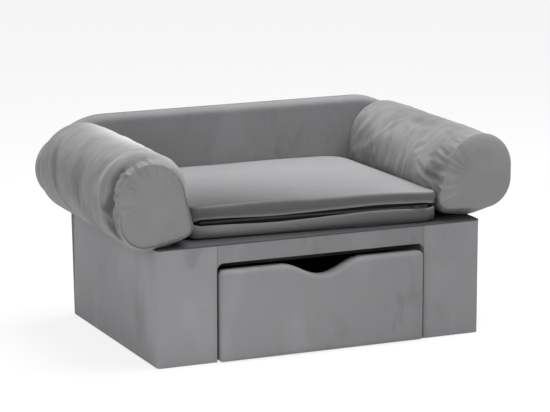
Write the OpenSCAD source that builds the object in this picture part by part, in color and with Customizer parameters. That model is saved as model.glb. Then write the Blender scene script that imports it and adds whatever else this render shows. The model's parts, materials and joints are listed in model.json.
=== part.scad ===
// Small sofa bed for a pet: an upholstered plywood box with a pull-out drawer,
// two stuffed arm rolls, a padded back board and a loose seat cushion.
// Millimetres. X runs along the sofa's width, Y from front to rear, Z up from the floor.
// The origin is the middle of the whole sofa's footprint.

/* [Base box] */
// Width of the upholstered base
base_w = 616; // [580:1:700]
// Depth of the upholstered base, from its front to its rear
base_d = 416; // [390:1:480]
// Height of the deck, where the cushion lies, above the floor
base_h = 208; // [202:1:230]
// Rounding of the two front upright edges of the base
base_edge_r = 8; // [5:0.5:12]
// Thickness of the plywood boards
ply_t = 12; // [9:0.5:14]
// Thickness of the plush cover with the wadding bonded to it
skin_t = 2; // [1.5:0.1:2.5]
// Height of the glides that the base stands on
glide_h = 2; // [1.5:0.5:5]
// Radius of a glide
glide_r = 12; // [8:0.5:16]

/* [Drawer opening] */
// Width of the front's panel on each side of the opening
side_panel_w = 111; // [98:1:128]
// Height of the rail between the opening and the deck
rail_h = 34; // [30:1:42]
// Radius of the opening's two top corners
opening_r = 12; // [8:0.5:18]

/* [Drawer] */
// How far the padded front stands out from the base
drawer_proud = 10; // [6:0.5:14]
// Thickness of the whole padded front
front_t = 23; // [21:0.5:28]
// Gap between the padded front and each side of the opening
front_side_gap = 3.5; // [2:0.25:6]
// Gap above the padded front
front_top_gap = 12; // [8:0.5:16]
// Height of the padded front's lower edge above the floor
front_low = 2.5; // [2:0.5:8]
// Rounding of the padded front's edges towards the room
front_edge_r = 8; // [5:0.5:10]
// Corner radius of the padded front, seen from the room
front_corner_r = 9; // [6:0.5:14]
// Depth of the finger scoop in the front's top edge
scoop_h = 24.5; // [16:0.5:34]
// Width of the finger scoop at the top
scoop_w = 156; // [110:1:200]
// How far the drawer pulls out
drawer_travel = 260; // [180:1:290]
// Thickness of the drawer's side and rear panels
drawer_panel_t = 9; // [6:0.5:12]
// Thickness of the drawer's bottom panel
drawer_bottom_t = 6; // [4:0.5:8]
// Height of the rail under the deck that stops the drawer
stop_rail_h = 54; // [48:1:60]
// How far the drawer's rear panel reaches above the stop rail's lower edge
stop_overlap = 10; // [6:1:16]
// Gap between the drawer's side panels and the stop rail above them
side_top_gap = 8; // [6:1:20]
// Free space between the drawer and the back board
drawer_rear_gap = 9; // [5:1:20]
// Gap between the drawer's side and its guide
guide_gap = 1; // [0.6:0.1:2]

/* [Back] */
// How far the back's top edge stands above the arm rolls
back_rise = 4; // [0:1:20]
// Thickness of the padded back
back_t = 30; // [26:1:40]
// Radius of the back's two top corners
back_corner_r = 130; // [110:1:150]
// Radius of the back's two ends, where they follow the arm rolls
back_end_r = 60; // [52:1:66]
// Height of the back's widest place above the deck
back_wide_h = 70; // [62:1:80]
// How far the back's ends lie inside the arm rolls' outer sides
back_in = 1; // [0:1:6]
// Rounding of the back's front edge
back_edge_r = 11; // [6:0.5:13]

/* [Arm rolls] */
// Height of an arm roll's top above the floor
arm_top = 366; // [350:1:390]
// How far an arm roll stands out beyond the side of the base
arm_over = 72; // [60:1:80]
// Radius of the roll's upper part at the front
arm_top_r = 70; // [62:1:74]
// Radius of the roll's upper part at the rear
arm_rear_r = 80; // [70:1:84]
// Radius of the roll's lower part
arm_low_r = 66; // [58:1:70]
// How far the roll hangs below the deck at the side of the base, at the front
arm_sag = 18; // [12:1:30]
// The same sag at the rear
arm_rear_sag = 8; // [2:1:20]
// Radius of the toe that rests on the deck, at the front
arm_toe_r = 26; // [20:1:30]
// Radius of the toe at the rear
arm_rear_toe_r = 46; // [36:1:52]
// Distance of the roll's inner side from the side of the base, at the front
arm_in_front = 70; // [62:1:76]
// Distance of the roll's inner side from the side of the base, at the rear
arm_in_rear = 86; // [76:1:88]
// How far the gathers reach behind the cap's seam
gather_l = 45; // [30:1:60]
// Number of gathers round the roll
gather_count = 24; // [16:1:30]
// Depth of a gather at the cap's seam
gather_deep = 3; // [1:0.25:4]
// How far the cap stands out from the front of the base
cap_dome = 3; // [1:0.5:6]
// How far the cap's seam lies below the roll's top
cap_drop = 9; // [4:0.5:14]
// Radius of the cap's upper part
cap_top_r = 60; // [52:1:66]
// Radius of the cap's lower part
cap_low_r = 49; // [42:1:56]
// Radius of the cap's inner corner
cap_toe_r = 20; // [15:1:26]

/* [Seat cushion] */
// Gap between the cushion and each arm roll at the front
cushion_gap = 9; // [9:0.5:20]
// The same gap at the rear, before the cushion's corner is rounded
cushion_rear_gap = 8; // [4:0.5:14]
// Height of the cushion's top seam above its underside
cushion_h = 53; // [44:1:62]
// Extra height of the cushion's middle
cushion_crown = 5; // [2:0.5:9]
// Distance of the cushion's front edge from the front of the base, in the middle
cushion_setback = 29; // [24:1:60]
// How much further forward the cushion's right front corner lies than its left one
cushion_skew = 34; // [0:1:40]
// Corner radius of the cushion at the front
cushion_front_r = 14; // [10:1:24]
// Corner radius of the cushion at the rear
cushion_rear_r = 45; // [30:1:60]
// How far the cushion's sides draw in between the seams
cushion_draw = 2; // [1:0.25:3]

/* [Zip] */
// Distance from each end of the zip to the cushion's side
zip_margin = 13; // [13:1:60]
// Width of the zip tape that shows
zip_w = 9; // [8:0.5:12]
// Height of the zip above the cushion's underside
zip_up = 29; // [24:0.5:32]
// Width of the zip's coil
coil_w = 4.4; // [3.6:0.1:4.8]
// Thickness of the zip's coil
coil_t = 1.2; // [1:0.1:1.6]
// Length of the slider along the zip
slider_l = 10; // [9:0.5:14]
// Length of the slider's pull tab
pull_l = 20; // [16:0.5:22]

/* [Hidden] */

plush_grey = [0.52, 0.51, 0.53];
plush_pale = [0.62, 0.61, 0.62];
lining_dark = [0.16, 0.15, 0.16];
ply_tan = [0.78, 0.66, 0.48];
foam_cream = [0.93, 0.88, 0.72];
fill_white = [0.95, 0.95, 0.95];
screw_grey = [0.72, 0.73, 0.75];
zip_black = [0.08, 0.08, 0.08];

// Cuts run past the faces that they open by this much
overrun = 1;
// Gap between a loose piece and what it lies on or slides along
loose_gap = 0.3;
// Gap between a screw's shank and its bore
shank_gap = 0.1;

// Places of the base's faces and of the boards behind the cover
base_x = base_w / 2;
board_x = base_x - skin_t;
front_y = -(base_d - drawer_proud) / 2;
rear_y = front_y + base_d;
carcass_front = front_y + skin_t + ply_t;
carcass_rear = rear_y - skin_t - ply_t;
floor_top = glide_h + ply_t;
deck_low = base_h - skin_t - ply_t;
opening_x = base_x - side_panel_w;
opening_h = base_h - rail_h;
partition_x = opening_x + skin_t;

// Places of the drawer's pieces
drawer_face = front_y - drawer_proud;
front_rear = drawer_face + front_t;
front_board_y = front_rear - ply_t;
front_x = opening_x - front_side_gap;
front_top = opening_h - front_top_gap;
runner_h = 4;
runner_w = 24;
drawer_low = floor_top + runner_h + loose_gap;
drawer_floor = drawer_low + drawer_bottom_t;
drawer_rear = carcass_rear - drawer_rear_gap;
drawer_x = front_x - front_side_gap;
guide_t = partition_x - drawer_x - guide_gap;
guide_low = 44;
guide_w = 24;
stop_gap = 0.5;
stop_rear = drawer_rear - drawer_panel_t - drawer_travel - stop_gap;
stop_low = deck_low - stop_rail_h;
drawer_side_top = stop_low - side_top_gap;
drawer_rear_top = stop_low + stop_overlap;

// Sizes of the fasteners
screw_r = 2;
screw_head_r = 4;
screw_head_h = 2.4;
screw_l = 38;
strip_screw_l = 24;
panel_screw_l = 30;
glide_pin_r = 2;
glide_pin_l = 8;
glide_inset = 24;
block_w = 26;
block_h = 60;

// Sizes of the plywood strip inside each arm roll
strip_w = 24;
strip_h = 10;
strip_inset = 6;
strip_end = 60;

// Rounds of the back and places of its layers
back_x = base_x + arm_over - back_in;
back_top = arm_top + back_rise;
back_corner = [back_x - back_corner_r, back_top - back_corner_r, back_corner_r];
back_end = [back_x - back_end_r, base_h + back_wide_h, back_end_r];
back_front = rear_y - back_t;
back_steps = 20;
edge_steps = 4;

// Circles that bound an arm roll's body and its cap: place across, height, radius
low_in = 2;
toe_rise = 2;
cap_over = 4;
cap_low_rise = 6;
cap_toe_rise = 15;
seam_w = 4;
seam_groove = 2.5;
cap_flat = 26;
belt_steps = 90;
gather_points = 3;
arm_steps = gather_count * gather_points;
arm_core_steps = 18;

// Shares of the gathers' reach, how full the roll is there and how deep the gathers still are
gather_shares = [[0.16, 0.3, 1], [0.4, 0.62, 0.7], [0.7, 0.88, 0.25], [1, 1, 0]];
// Shares of the roll's free length behind the gathers, and how full it is there
run_shares = [[0.35, 1], [0.7, 0.98], [0.9, 0.85], [1, 0.55]];
cap_dome_shares = [[1, 1], [0.6, 0.4], [0, 0]];

// Corners and rings of the cushion
cushion_w = 2 * (roll_inner(arm_in_front, arm_top_r) - cushion_gap);
cushion_rear_x = roll_inner(arm_in_rear, arm_rear_r) - cushion_rear_gap;
cushion_low = base_h + loose_gap;
cushion_side_gap = 0.5;
cushion_rear = back_front - cushion_side_gap;
cushion_front = front_y + cushion_setback;
cushion_corner_steps = 5;
cushion_side_steps = 8;
cushion_pinch = 7;
// Shares of the cushion's height and of its pinch at the foot of the boxing
foot_shares = [[0, 1], [0.06, 0.38], [0.16, 0.08]];
// Shares of the cushion's height and of its draw up the boxing
boxing_shares = [[0.42, 1], [0.62, 1], [0.88, 0.25], [1, 0]];
// Shares of the cushion's plan and of its crown over the top
top_shares = [[0.975, 0.22], [0.9, 0.5], [0.7, 0.8], [0.4, 0.97]];
// Share of its height by which the cushion is lower at its ends
end_drop_share = 0.08;

// Places of the zip's pieces, measured from the cushion's front face
zip_l = cushion_w - 2 * zip_margin;
tape_recess = 0.6;
tape_face = cushion_draw + tape_recess;
coil_face = tape_face - coil_t;
slider_plate_t = 1.2;
slider_wall_t = 1;
slider_face = coil_face - loose_gap - slider_plate_t;
slider_half_w = coil_w / 2 + loose_gap + slider_wall_t;
zip_end_gap = 8;
slider_x = zip_l / 2 - zip_end_gap - slider_l / 2;
bridge_t = 1;
bridge_w = 2;
bridge_gap = 2.2;
bridge_half = 3.6;
pin_r = 0.7;
pin_up = 1.15;
pull_gap = 0.4;
pull_t = 1.5;
pull_w = 5.6;
pull_reach = 6;
zip_turn = -atan(cushion_skew / cushion_w);

// A value between two others, by its share of the way
function between(a, b, share) = a + (b - a) * share;

// The same list from its last entry to its first
function backwards(list) = [for (i = [len(list) - 1 : -1 : 0]) list[i]];

// Middle of the box round a ring
function middle_of(ring) = [
    for (k = [0 : 2]) let (places = [for (p = ring) p[k]]) (min(places) + max(places)) / 2
];

// How far a circle reaches in a direction
function reach_of(c, u) = c[0] * u[0] + c[1] * u[1] + c[2];

// Direction to the right of the way from one point to another
function unit(v) = v / norm(v);
function outward(a, b) = let (d = unit([b[0] - a[0], b[1] - a[1]])) [d[1], -d[0]];

// Points round the tight outline of some circles, each a place and a radius, drawn in by inset
function belt(circles, inset, steps) = [
    for (i = [0 : steps - 1])
        let (a = 360 * i / steps,
             u = [cos(a), sin(a)],
             reach = [for (c = circles) reach_of(c, u)],
             c = circles[search(max(reach), reach)[0]])
        [c[0], c[1]] + (c[2] - inset) * u
];

// The same closed outline with even steps along it
function even_steps(line, steps) =
    let (n = len(line),
         run = [for (i = 0, t = 0; i <= n; t = t + norm(line[(i + 1) % n] - line[i % n]), i = i + 1) t],
         across = [for (i = [0 : n]) [run[i], line[i % n][0]]],
         up = [for (i = [0 : n]) [run[i], line[i % n][1]]])
    [for (k = [0 : steps - 1]) let (t = run[n] * k / steps) [lookup(t, across), lookup(t, up)]];

// Outline of the back, drawn in by inset, from its foot round one end and over the top corner
function back_half(inset, foot) =
    let (x = base_x - inset,
         start = -acos((x - back_end[0]) / (back_end[2] - inset)))
    concat([[x, foot]], [
        for (i = [0 : back_steps])
            let (a = between(start, 90, i / back_steps),
                 u = [cos(a), sin(a)],
                 over = a > 0 && reach_of(back_corner, u) > reach_of(back_end, u),
                 c = over ? back_corner : back_end)
            [c[0], c[1]] + (c[2] - inset) * u
    ]);

// Half of an outline, joined to its mirror image
function both_halves(half) = concat(half, [for (p = backwards(half)) [-p[0], p[1]]]);

function back_outline(inset, foot) = both_halves(back_half(inset, foot));

// Outline of the drawer's padded front, drawn in by inset, with the finger scoop in its top
scoop_steps = 12;
corner_steps = 4;
function front_half(inset) =
    let (x = front_x - inset,
         top = front_top - inset,
         r = front_corner_r - inset,
         w = scoop_w / 2)
    concat(
        [[x, front_low + inset]],
        [for (i = [0 : corner_steps])
            let (a = 90 * i / corner_steps) [x - r + r * cos(a), top - r + r * sin(a)]],
        [for (i = [0 : scoop_steps - 1])
            let (p = w * (1 - (i + 0.5) / scoop_steps))
            [p, top - scoop_h / 2 * (1 + cos(180 * p / w))]]);

function front_outline(inset) = both_halves(front_half(inset));

// Ring of an outline in X and Z, stood up at a place along Y
function upright(outline, y) = [for (p = outline) [p[0], y, p[1]]];

// Solid through rings with the same number of points, closed at both ends by a fan
module loft(rings) {
    n = len(rings[0]);
    count = len(rings);
    last = (count - 1) * n;
    points = concat(
        [for (ring = rings) for (p = ring) p],
        [middle_of(rings[0]), middle_of(rings[count - 1])]);
    faces = [
        for (i = [0 : n - 1]) let (j = (i + 1) % n) each concat(
            [[j, i, count * n], [last + i, last + j, count * n + 1]],
            [for (k = [0 : count - 2])
                let (a = k * n, b = a + n)
                each [[a + i, a + j, b + j], [a + i, b + j, b + i]]])
    ];
    polyhedron(points, faces, convexity = 6);
}

// Plate with a rounded front edge, through an outline function's rings
function round_front(y, r, steps) = [
    for (k = [0 : steps])
        let (a = 90 * k / steps) [y + r * (1 - cos(a)), r * (1 - sin(a))]
];

// Box from one corner to the opposite one
module span(x, y, z) {
    translate([x[0], y[0], z[0]]) cube([x[1] - x[0], y[1] - y[0], z[1] - z[0]]);
}

module both_sides() {
    children();
    mirror([1, 0, 0]) children();
}

// Outline of the base in plan, drawn in by inset, with its two front corners round
module base_plan(inset, rear) {
    x = base_x - inset;
    y = front_y + inset;
    r = base_edge_r - inset;
    for (side = [-1, 1]) translate([side * (x - r), y + r]) circle(r = r, $fn = 48);
    translate([-x + r, y]) square([2 * (x - r), rear - y]);
    translate([-x, y + r]) square([2 * x, rear - y - r]);
}

// Opening of the drawer, grown by a wall, as a shape in X and Z
module opening_shape(grow) {
    x = opening_x + grow;
    top = opening_h + grow;
    r = opening_r + grow;
    for (side = [-1, 1]) translate([side * (x - r), top - r]) circle(r = r, $fn = 48);
    translate([-x + r, 0]) square([2 * (x - r), top]);
    translate([-x, 0]) square([2 * x, top - r]);
}

// Shape in X and Z, given depth along Y
module deep(y0, y1) {
    translate([0, y1, 0]) rotate([90, 0, 0]) linear_extrude(y1 - y0, convexity = 6) children();
}

// Countersunk screw that points down from the origin, or its bore
module screw(length, gap) {
    translate([0, 0, -length]) cylinder(r = screw_r + gap, h = length, $fn = 24);
    translate([0, 0, -screw_head_h])
        cylinder(r1 = screw_r + gap, r2 = screw_head_r + gap, h = screw_head_h, $fn = 24);
}

// Places of the screws, three along each side board
deck_screw_x = board_x - ply_t / 2;
deck_screw_shares = [0.1, 0.5, 0.9];
module at_deck_screws() {
    for (share = deck_screw_shares) both_sides()
        translate([deck_screw_x, between(carcass_front, carcass_rear, share), base_h - skin_t])
            children();
}

// Places of the screws through the back board into the side boards
back_screw_shares = [0.15, 0.5, 0.85];
module at_back_screws() {
    for (share = back_screw_shares) both_sides()
        translate([deck_screw_x, carcass_rear + ply_t, between(floor_top, deck_low, share)])
            rotate([-90, 0, 0]) children();
}

// Places of the screws through the deck into the strips of the arm rolls
arm_screw_shares = [0.15, 0.5, 0.85];
strip_x = base_x - strip_inset - strip_w / 2;
strip_y0 = front_y + strip_end;
strip_y1 = back_front - strip_end;
module at_arm_screws() {
    for (share = arm_screw_shares) both_sides()
        translate([strip_x, between(strip_y0, strip_y1, share), deck_low])
            rotate([180, 0, 0]) children();
}

// Places of the screws through the drawer's front board into its side panels
drawer_screw_shares = [0.25, 0.75];
module at_drawer_screws() {
    for (share = drawer_screw_shares) both_sides()
        translate([drawer_x - drawer_panel_t / 2, front_board_y,
                   between(drawer_floor, drawer_side_top, share)])
            rotate([90, 0, 0]) children();
}

module at_glides() {
    for (y = [carcass_front + glide_inset, carcass_rear - glide_inset]) both_sides()
        translate([board_x - ply_t - glide_inset, y, 0]) children();
}

module foot_glides() {
    color(lining_dark) at_glides() {
        cylinder(r = glide_r, h = glide_h, $fn = 48);
        cylinder(r = glide_pin_r, h = glide_h + glide_pin_l, $fn = 24);
    }
}

module bottom_board() {
    x = board_x - ply_t;
    color(ply_tan) difference() {
        span([-x, x], [carcass_front, carcass_rear], [glide_h, floor_top]);
        at_glides() cylinder(r = glide_pin_r + shank_gap,
                             h = glide_h + glide_pin_l + shank_gap, $fn = 24);
    }
}

module side_board() {
    color(ply_tan) difference() {
        span([board_x - ply_t, board_x], [carcass_front, carcass_rear], [glide_h, deck_low]);
        at_deck_screws() screw(screw_l + shank_gap, shank_gap);
        at_back_screws() screw(screw_l + shank_gap, shank_gap);
    }
}

module right_side_board() { side_board(); }
module left_side_board() { mirror([1, 0, 0]) side_board(); }

module front_board() {
    color(ply_tan) difference() {
        intersection() {
            translate([0, 0, glide_h]) linear_extrude(deck_low - glide_h)
                base_plan(skin_t, rear_y);
            span([-board_x, board_x], [front_y, carcass_front], [glide_h, deck_low]);
        }
        deep(front_y - overrun, carcass_front + overrun) opening_shape(skin_t);
    }
}

module back_board() {
    color(ply_tan) difference() {
        deep(carcass_rear, carcass_rear + ply_t) polygon(back_outline(skin_t, glide_h));
        at_back_screws() screw(screw_l + shank_gap, shank_gap);
    }
}

module deck_board() {
    color(ply_tan) difference() {
        translate([0, 0, deck_low]) linear_extrude(ply_t) base_plan(skin_t, carcass_rear);
        at_deck_screws() screw(screw_l + shank_gap, shank_gap);
        at_arm_screws() screw(strip_screw_l + shank_gap, shank_gap);
    }
}

module partition() {
    color(ply_tan)
        span([partition_x, partition_x + ply_t], [carcass_front, carcass_rear],
             [floor_top, deck_low]);
}

module right_partition() { partition(); }
module left_partition() { mirror([1, 0, 0]) partition(); }

module drawer_runners() {
    color(ply_tan) both_sides()
        span([drawer_x - runner_w, drawer_x], [carcass_front, carcass_rear],
             [floor_top, floor_top + runner_h]);
}

module drawer_guides() {
    color(ply_tan) both_sides()
        span([partition_x - guide_t, partition_x], [carcass_front, carcass_rear],
             [guide_low, guide_low + guide_w]);
}

// Rail under the deck, which stiffens it and stops the drawer's rear panel
module stop_rail() {
    color(ply_tan)
        span([-partition_x, partition_x], [stop_rear - ply_t, stop_rear], [stop_low, deck_low]);
}

// Triangular blocks glued into the four inner corners of the carcass
module corner_blocks() {
    x = board_x - ply_t;
    color(ply_tan) both_sides() {
        translate([x, carcass_front, floor_top]) linear_extrude(block_h)
            polygon([[0, 0], [0, block_w], [-block_w, 0]]);
        translate([x, carcass_rear, floor_top]) linear_extrude(block_h)
            polygon([[0, 0], [-block_w, 0], [0, -block_w]]);
    }
}

module deck_screws() { color(screw_grey) at_deck_screws() screw(screw_l, 0); }
module back_screws() { color(screw_grey) at_back_screws() screw(screw_l, 0); }
module arm_screws() { color(screw_grey) at_arm_screws() screw(strip_screw_l, 0); }

// Cover of one end of the base: its front panel, round the corner and along the side
module side_cover() {
    z = [glide_h, base_h - skin_t];
    color(plush_grey) {
        translate([0, 0, z[0]]) linear_extrude(z[1] - z[0]) intersection() {
            difference() {
                base_plan(0, carcass_rear + ply_t);
                base_plan(skin_t, rear_y);
            }
            translate([opening_x, front_y - overrun]) square([base_w, base_d]);
        }
        span([opening_x, partition_x], [front_y, carcass_front], [z[0], opening_h - opening_r]);
    }
}

module right_cover() { side_cover(); }
module left_cover() { mirror([1, 0, 0]) side_cover(); }

// Cover of the rail above the drawer, turned in under its edge
module rail_cover() {
    side = opening_h - opening_r;
    color(plush_grey) {
        difference() {
            span([-opening_x, opening_x], [front_y, front_y + skin_t], [side, base_h - skin_t]);
            deep(front_y - overrun, carcass_front + overrun) opening_shape(0);
        }
        intersection() {
            deep(front_y + skin_t, carcass_front) difference() {
                opening_shape(skin_t);
                opening_shape(0);
            }
            span([-base_x, base_x], [front_y, carcass_front], [side, base_h]);
        }
    }
}

module rear_cover() {
    color(plush_grey) deep(rear_y - skin_t, rear_y) polygon(back_outline(0, glide_h));
}

module deck_cover() {
    color(lining_dark) difference() {
        translate([0, 0, base_h - skin_t]) linear_extrude(skin_t) base_plan(0, carcass_rear);
        at_arm_screws() screw(strip_screw_l + shank_gap, shank_gap);
    }
}

// Padded back, drawn in by inset, from a height up and as deep as its last ring
module back_pad(inset, foot, rear) {
    rings = round_front(back_front + inset, back_edge_r - inset, edge_steps);
    loft(concat(
        [for (ring = rings) upright(back_outline(ring[1] + inset, foot), ring[0])],
        [upright(back_outline(inset, foot), rear)]));
}

module back_foam() { color(foam_cream) back_pad(skin_t, base_h, carcass_rear); }

module back_cover() {
    color(plush_grey) difference() {
        back_pad(0, base_h, carcass_rear + ply_t);
        back_pad(skin_t, base_h - overrun, carcass_rear + ply_t + overrun);
    }
}

// Place across of a roll's innermost point, from its inner side and its upper part's radius
function roll_inner(reach_in, r) = base_x - max(reach_in, 2 * r - arm_over);

// Circles of the right arm roll at a place along Y, from its cap to its full body
function arm_circles(full, y) =
    let (run = (y - front_y) / (back_front - front_y),
         inner = base_x - between(arm_in_front, arm_in_rear, run),
         top_r = between(arm_top_r, arm_rear_r, run),
         toe_r = between(arm_toe_r, arm_rear_toe_r, run),
         low = base_h - between(arm_sag, arm_rear_sag, run),
         out = base_x + arm_over,
         cap_out = out - cap_over)
    [
        between([cap_out - cap_top_r, arm_top - cap_drop - cap_top_r, cap_top_r],
                [out - top_r, arm_top - top_r, top_r], full),
        between([cap_out - low_in - cap_low_r, base_h + cap_low_rise + cap_low_r, cap_low_r],
                [out - low_in - arm_low_r, low + arm_low_r, arm_low_r], full),
        between([inner + cap_toe_r, base_h + cap_toe_rise + cap_toe_r, cap_toe_r],
                [inner + toe_r, base_h + toe_rise + toe_r, toe_r], full)
    ];

// One ring of the right arm roll: its place along Y, how full it is and how far it is drawn in
function arm_ring(y, full, inset, steps) =
    upright(even_steps(belt(arm_circles(full, y), inset, belt_steps), steps), y);

// The same ring, with a gather's groove between every two ridges
function gathered_ring(ring, deep) =
    let (n = len(ring))
    [for (i = [0 : n - 1])
        let (before = ring[(i + n - 1) % n],
             after = ring[(i + 1) % n],
             away = outward([before[0], before[2]], [after[0], after[2]]),
             groove = deep * (1 - cos(360 * i / gather_points)) / 2)
        ring[i] - groove * [away[0], 0, away[1]]];

gather_end = front_y + gather_l;
function arm_run(inset, rear, steps, deep) = concat(
    [for (s = gather_shares)
        gathered_ring(arm_ring(front_y + gather_l * s[0], s[1], inset, steps), deep * s[2])],
    [for (s = run_shares) arm_ring(between(gather_end, rear, s[0]), s[1], inset, steps)]);

// The whole roll, with its domed cap, the drawn-in seam and the gathers behind it
module arm_roll() {
    loft(concat(
        [for (s = cap_dome_shares)
            arm_ring(front_y - cap_dome * s[0], 0, cap_flat * s[1], arm_steps)],
        [arm_ring(front_y + seam_w, 0, seam_groove, arm_steps)],
        arm_run(0, back_front, arm_steps, gather_deep)));
}

// The space inside the roll's cover
module arm_core() {
    loft(concat(
        [arm_ring(front_y + skin_t, 0, cap_flat, arm_core_steps)],
        [arm_ring(front_y + seam_w, 0, seam_groove + skin_t, arm_core_steps)],
        arm_run(skin_t + gather_deep, back_front - skin_t, arm_core_steps, 0)));
}

// The base under the roll, grown by a wall
module base_block(grow) {
    span([-base_x - grow, base_x + grow], [front_y - base_d, rear_y + base_d],
         [-base_h, base_h + grow]);
}

module right_strip(grow) {
    span([strip_x - strip_w / 2, strip_x + strip_w / 2], [strip_y0, strip_y1],
         [base_h - grow, base_h + strip_h]);
}

module arm_cover() {
    color(plush_pale) difference() {
        arm_roll();
        base_block(0);
        difference() {
            arm_core();
            base_block(skin_t);
        }
        right_strip(overrun);
    }
}

module arm_fill() {
    color(fill_white) difference() {
        arm_core();
        base_block(skin_t);
        right_strip(overrun);
        at_arm_screws() screw(strip_screw_l + shank_gap, shank_gap);
    }
}

module arm_strip() {
    color(ply_tan) difference() {
        right_strip(0);
        at_arm_screws() screw(strip_screw_l + shank_gap, shank_gap);
    }
}

module right_arm_cover() { arm_cover(); }
module left_arm_cover() { mirror([1, 0, 0]) arm_cover(); }
module right_arm_fill() { arm_fill(); }
module left_arm_fill() { mirror([1, 0, 0]) arm_fill(); }
module right_arm_strip() { arm_strip(); }
module left_arm_strip() { mirror([1, 0, 0]) arm_strip(); }

// Padded front of the drawer, drawn in by inset
module front_pad(inset, rear) {
    rings = round_front(drawer_face + inset, front_edge_r - inset, edge_steps);
    loft(concat(
        [for (ring = rings) upright(front_outline(ring[1] + inset), ring[0])],
        [upright(front_outline(inset), rear)]));
}

module drawer_front_board() {
    color(ply_tan) difference() {
        deep(front_board_y, front_rear) polygon(front_outline(skin_t));
        at_drawer_screws() screw(panel_screw_l + shank_gap, shank_gap);
    }
}

module drawer_front_foam() { color(foam_cream) front_pad(skin_t, front_board_y); }

module drawer_front_cover() {
    color(plush_grey) difference() {
        front_pad(0, front_rear);
        front_pad(skin_t, front_rear + overrun);
    }
}

module drawer_side() {
    color(lining_dark) difference() {
        span([drawer_x - drawer_panel_t, drawer_x], [front_rear, drawer_rear],
             [drawer_floor, drawer_side_top]);
        at_drawer_screws() screw(panel_screw_l + shank_gap, shank_gap);
    }
}

module drawer_right_side() { drawer_side(); }
module drawer_left_side() { mirror([1, 0, 0]) drawer_side(); }

module drawer_rear_panel() {
    x = drawer_x - drawer_panel_t;
    color(lining_dark)
        span([-x, x], [drawer_rear - drawer_panel_t, drawer_rear],
             [drawer_floor, drawer_rear_top]);
}

module drawer_bottom() {
    color(lining_dark)
        span([-drawer_x, drawer_x], [front_rear, drawer_rear], [drawer_low, drawer_floor]);
}

module drawer_screws() {
    color(screw_grey) at_drawer_screws() screw(panel_screw_l, 0);
}

// Corners of the cushion in plan, each with the radius that rounds it, from the front left
function cushion_corners() =
    let (x = cushion_w / 2)
    [
        [-x, cushion_front + cushion_skew / 2, cushion_front_r],
        [x, cushion_front - cushion_skew / 2, cushion_front_r],
        [cushion_rear_x, cushion_rear, cushion_rear_r],
        [-cushion_rear_x, cushion_rear, cushion_rear_r]
    ];

function angle_of(v) = atan2(v[1], v[0]);

// Points round one corner, then along the side that follows it. The front side is straight.
function cushion_corner(i, inset, draw) =
    let (c = cushion_corners(), p = c[i], q = c[(i + 1) % 4],
         n0 = outward(c[(i + 3) % 4], p), n1 = outward(p, q), n2 = outward(q, c[(i + 2) % 4]),
         middle = [p[0], p[1]] - p[2] * (n0 + n1) / (1 + n0 * n1),
         next = [q[0], q[1]] - q[2] * (n1 + n2) / (1 + n1 * n2),
         a0 = angle_of(n0),
         turn = (angle_of(n1) - a0 + 360) % 360,
         from = middle + (p[2] - inset) * n1,
         to = next + (q[2] - inset) * n1,
         bend = i == 0 ? 0 : draw)
    concat(
        [for (k = [0 : cushion_corner_steps])
            let (a = a0 + turn * k / cushion_corner_steps)
            middle + (p[2] - inset) * [cos(a), sin(a)]],
        [for (k = [1 : cushion_side_steps - 1])
            let (s = k / cushion_side_steps)
            between(from, to, s) - bend * sin(180 * s) * n1]);

function cushion_plan(inset, draw) = [for (i = [0 : 3]) each cushion_corner(i, inset, draw)];

// Height over the cushion's underside, a little less towards its two ends
function cushion_z(z, p) = cushion_low + z * (1 - end_drop_share * pow(abs(2 * p[0] / cushion_w), 4));

function cushion_ring(z, inset) =
    [for (p = cushion_plan(inset, inset)) [p[0], p[1], cushion_z(z, p)]];

// Ring over the top, a share of the plan, raised by a share of the crown
function cushion_top_ring(s, z, inset) =
    let (middle = (cushion_front + cushion_rear) / 2)
    [for (p = cushion_plan(inset, 0))
        let (q = [p[0] * s[0], between(middle, p[1], s[0])])
        [q[0], q[1], cushion_z(z, q) + cushion_crown * s[1]]];

module cushion_form() {
    loft(backwards(concat(
        [for (s = foot_shares) cushion_ring(cushion_h * s[0], cushion_pinch * s[1])],
        [for (s = boxing_shares) cushion_ring(cushion_h * s[0], cushion_draw * s[1])],
        [for (s = top_shares) cushion_top_ring(s, cushion_h, 0)])));
}

// The space inside the cushion's cover
module cushion_core() {
    wall = cushion_draw + skin_t;
    loft(backwards([
        cushion_ring(skin_t, cushion_pinch + skin_t),
        cushion_ring(cushion_h * foot_shares[2][0] + skin_t, wall),
        cushion_ring(cushion_h * boxing_shares[2][0], wall),
        cushion_top_ring(top_shares[0], cushion_h - skin_t, wall),
        cushion_top_ring(top_shares[1], cushion_h - skin_t, wall),
        cushion_top_ring(top_shares[3], cushion_h - skin_t, wall)
    ]));
}

// Frame of the zip: X along it, Y into the cushion from the front face's plane
module zip_frame() {
    translate([0, cushion_front, cushion_low + zip_up]) rotate([0, 0, zip_turn]) children();
}

module zip_slot() {
    zip_frame() span([-zip_l / 2, zip_l / 2], [-overrun, tape_face + skin_t],
                     [-zip_w / 2, zip_w / 2]);
}

module cushion_cover() {
    color(plush_pale) difference() {
        cushion_form();
        cushion_core();
        zip_slot();
    }
}

module cushion_foam() {
    color(foam_cream) difference() {
        cushion_core();
        zip_slot();
    }
}

module zip_tape() {
    color(zip_black) zip_frame()
        span([-zip_l / 2, zip_l / 2], [tape_face, tape_face + skin_t], [-zip_w / 2, zip_w / 2]);
}

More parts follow.
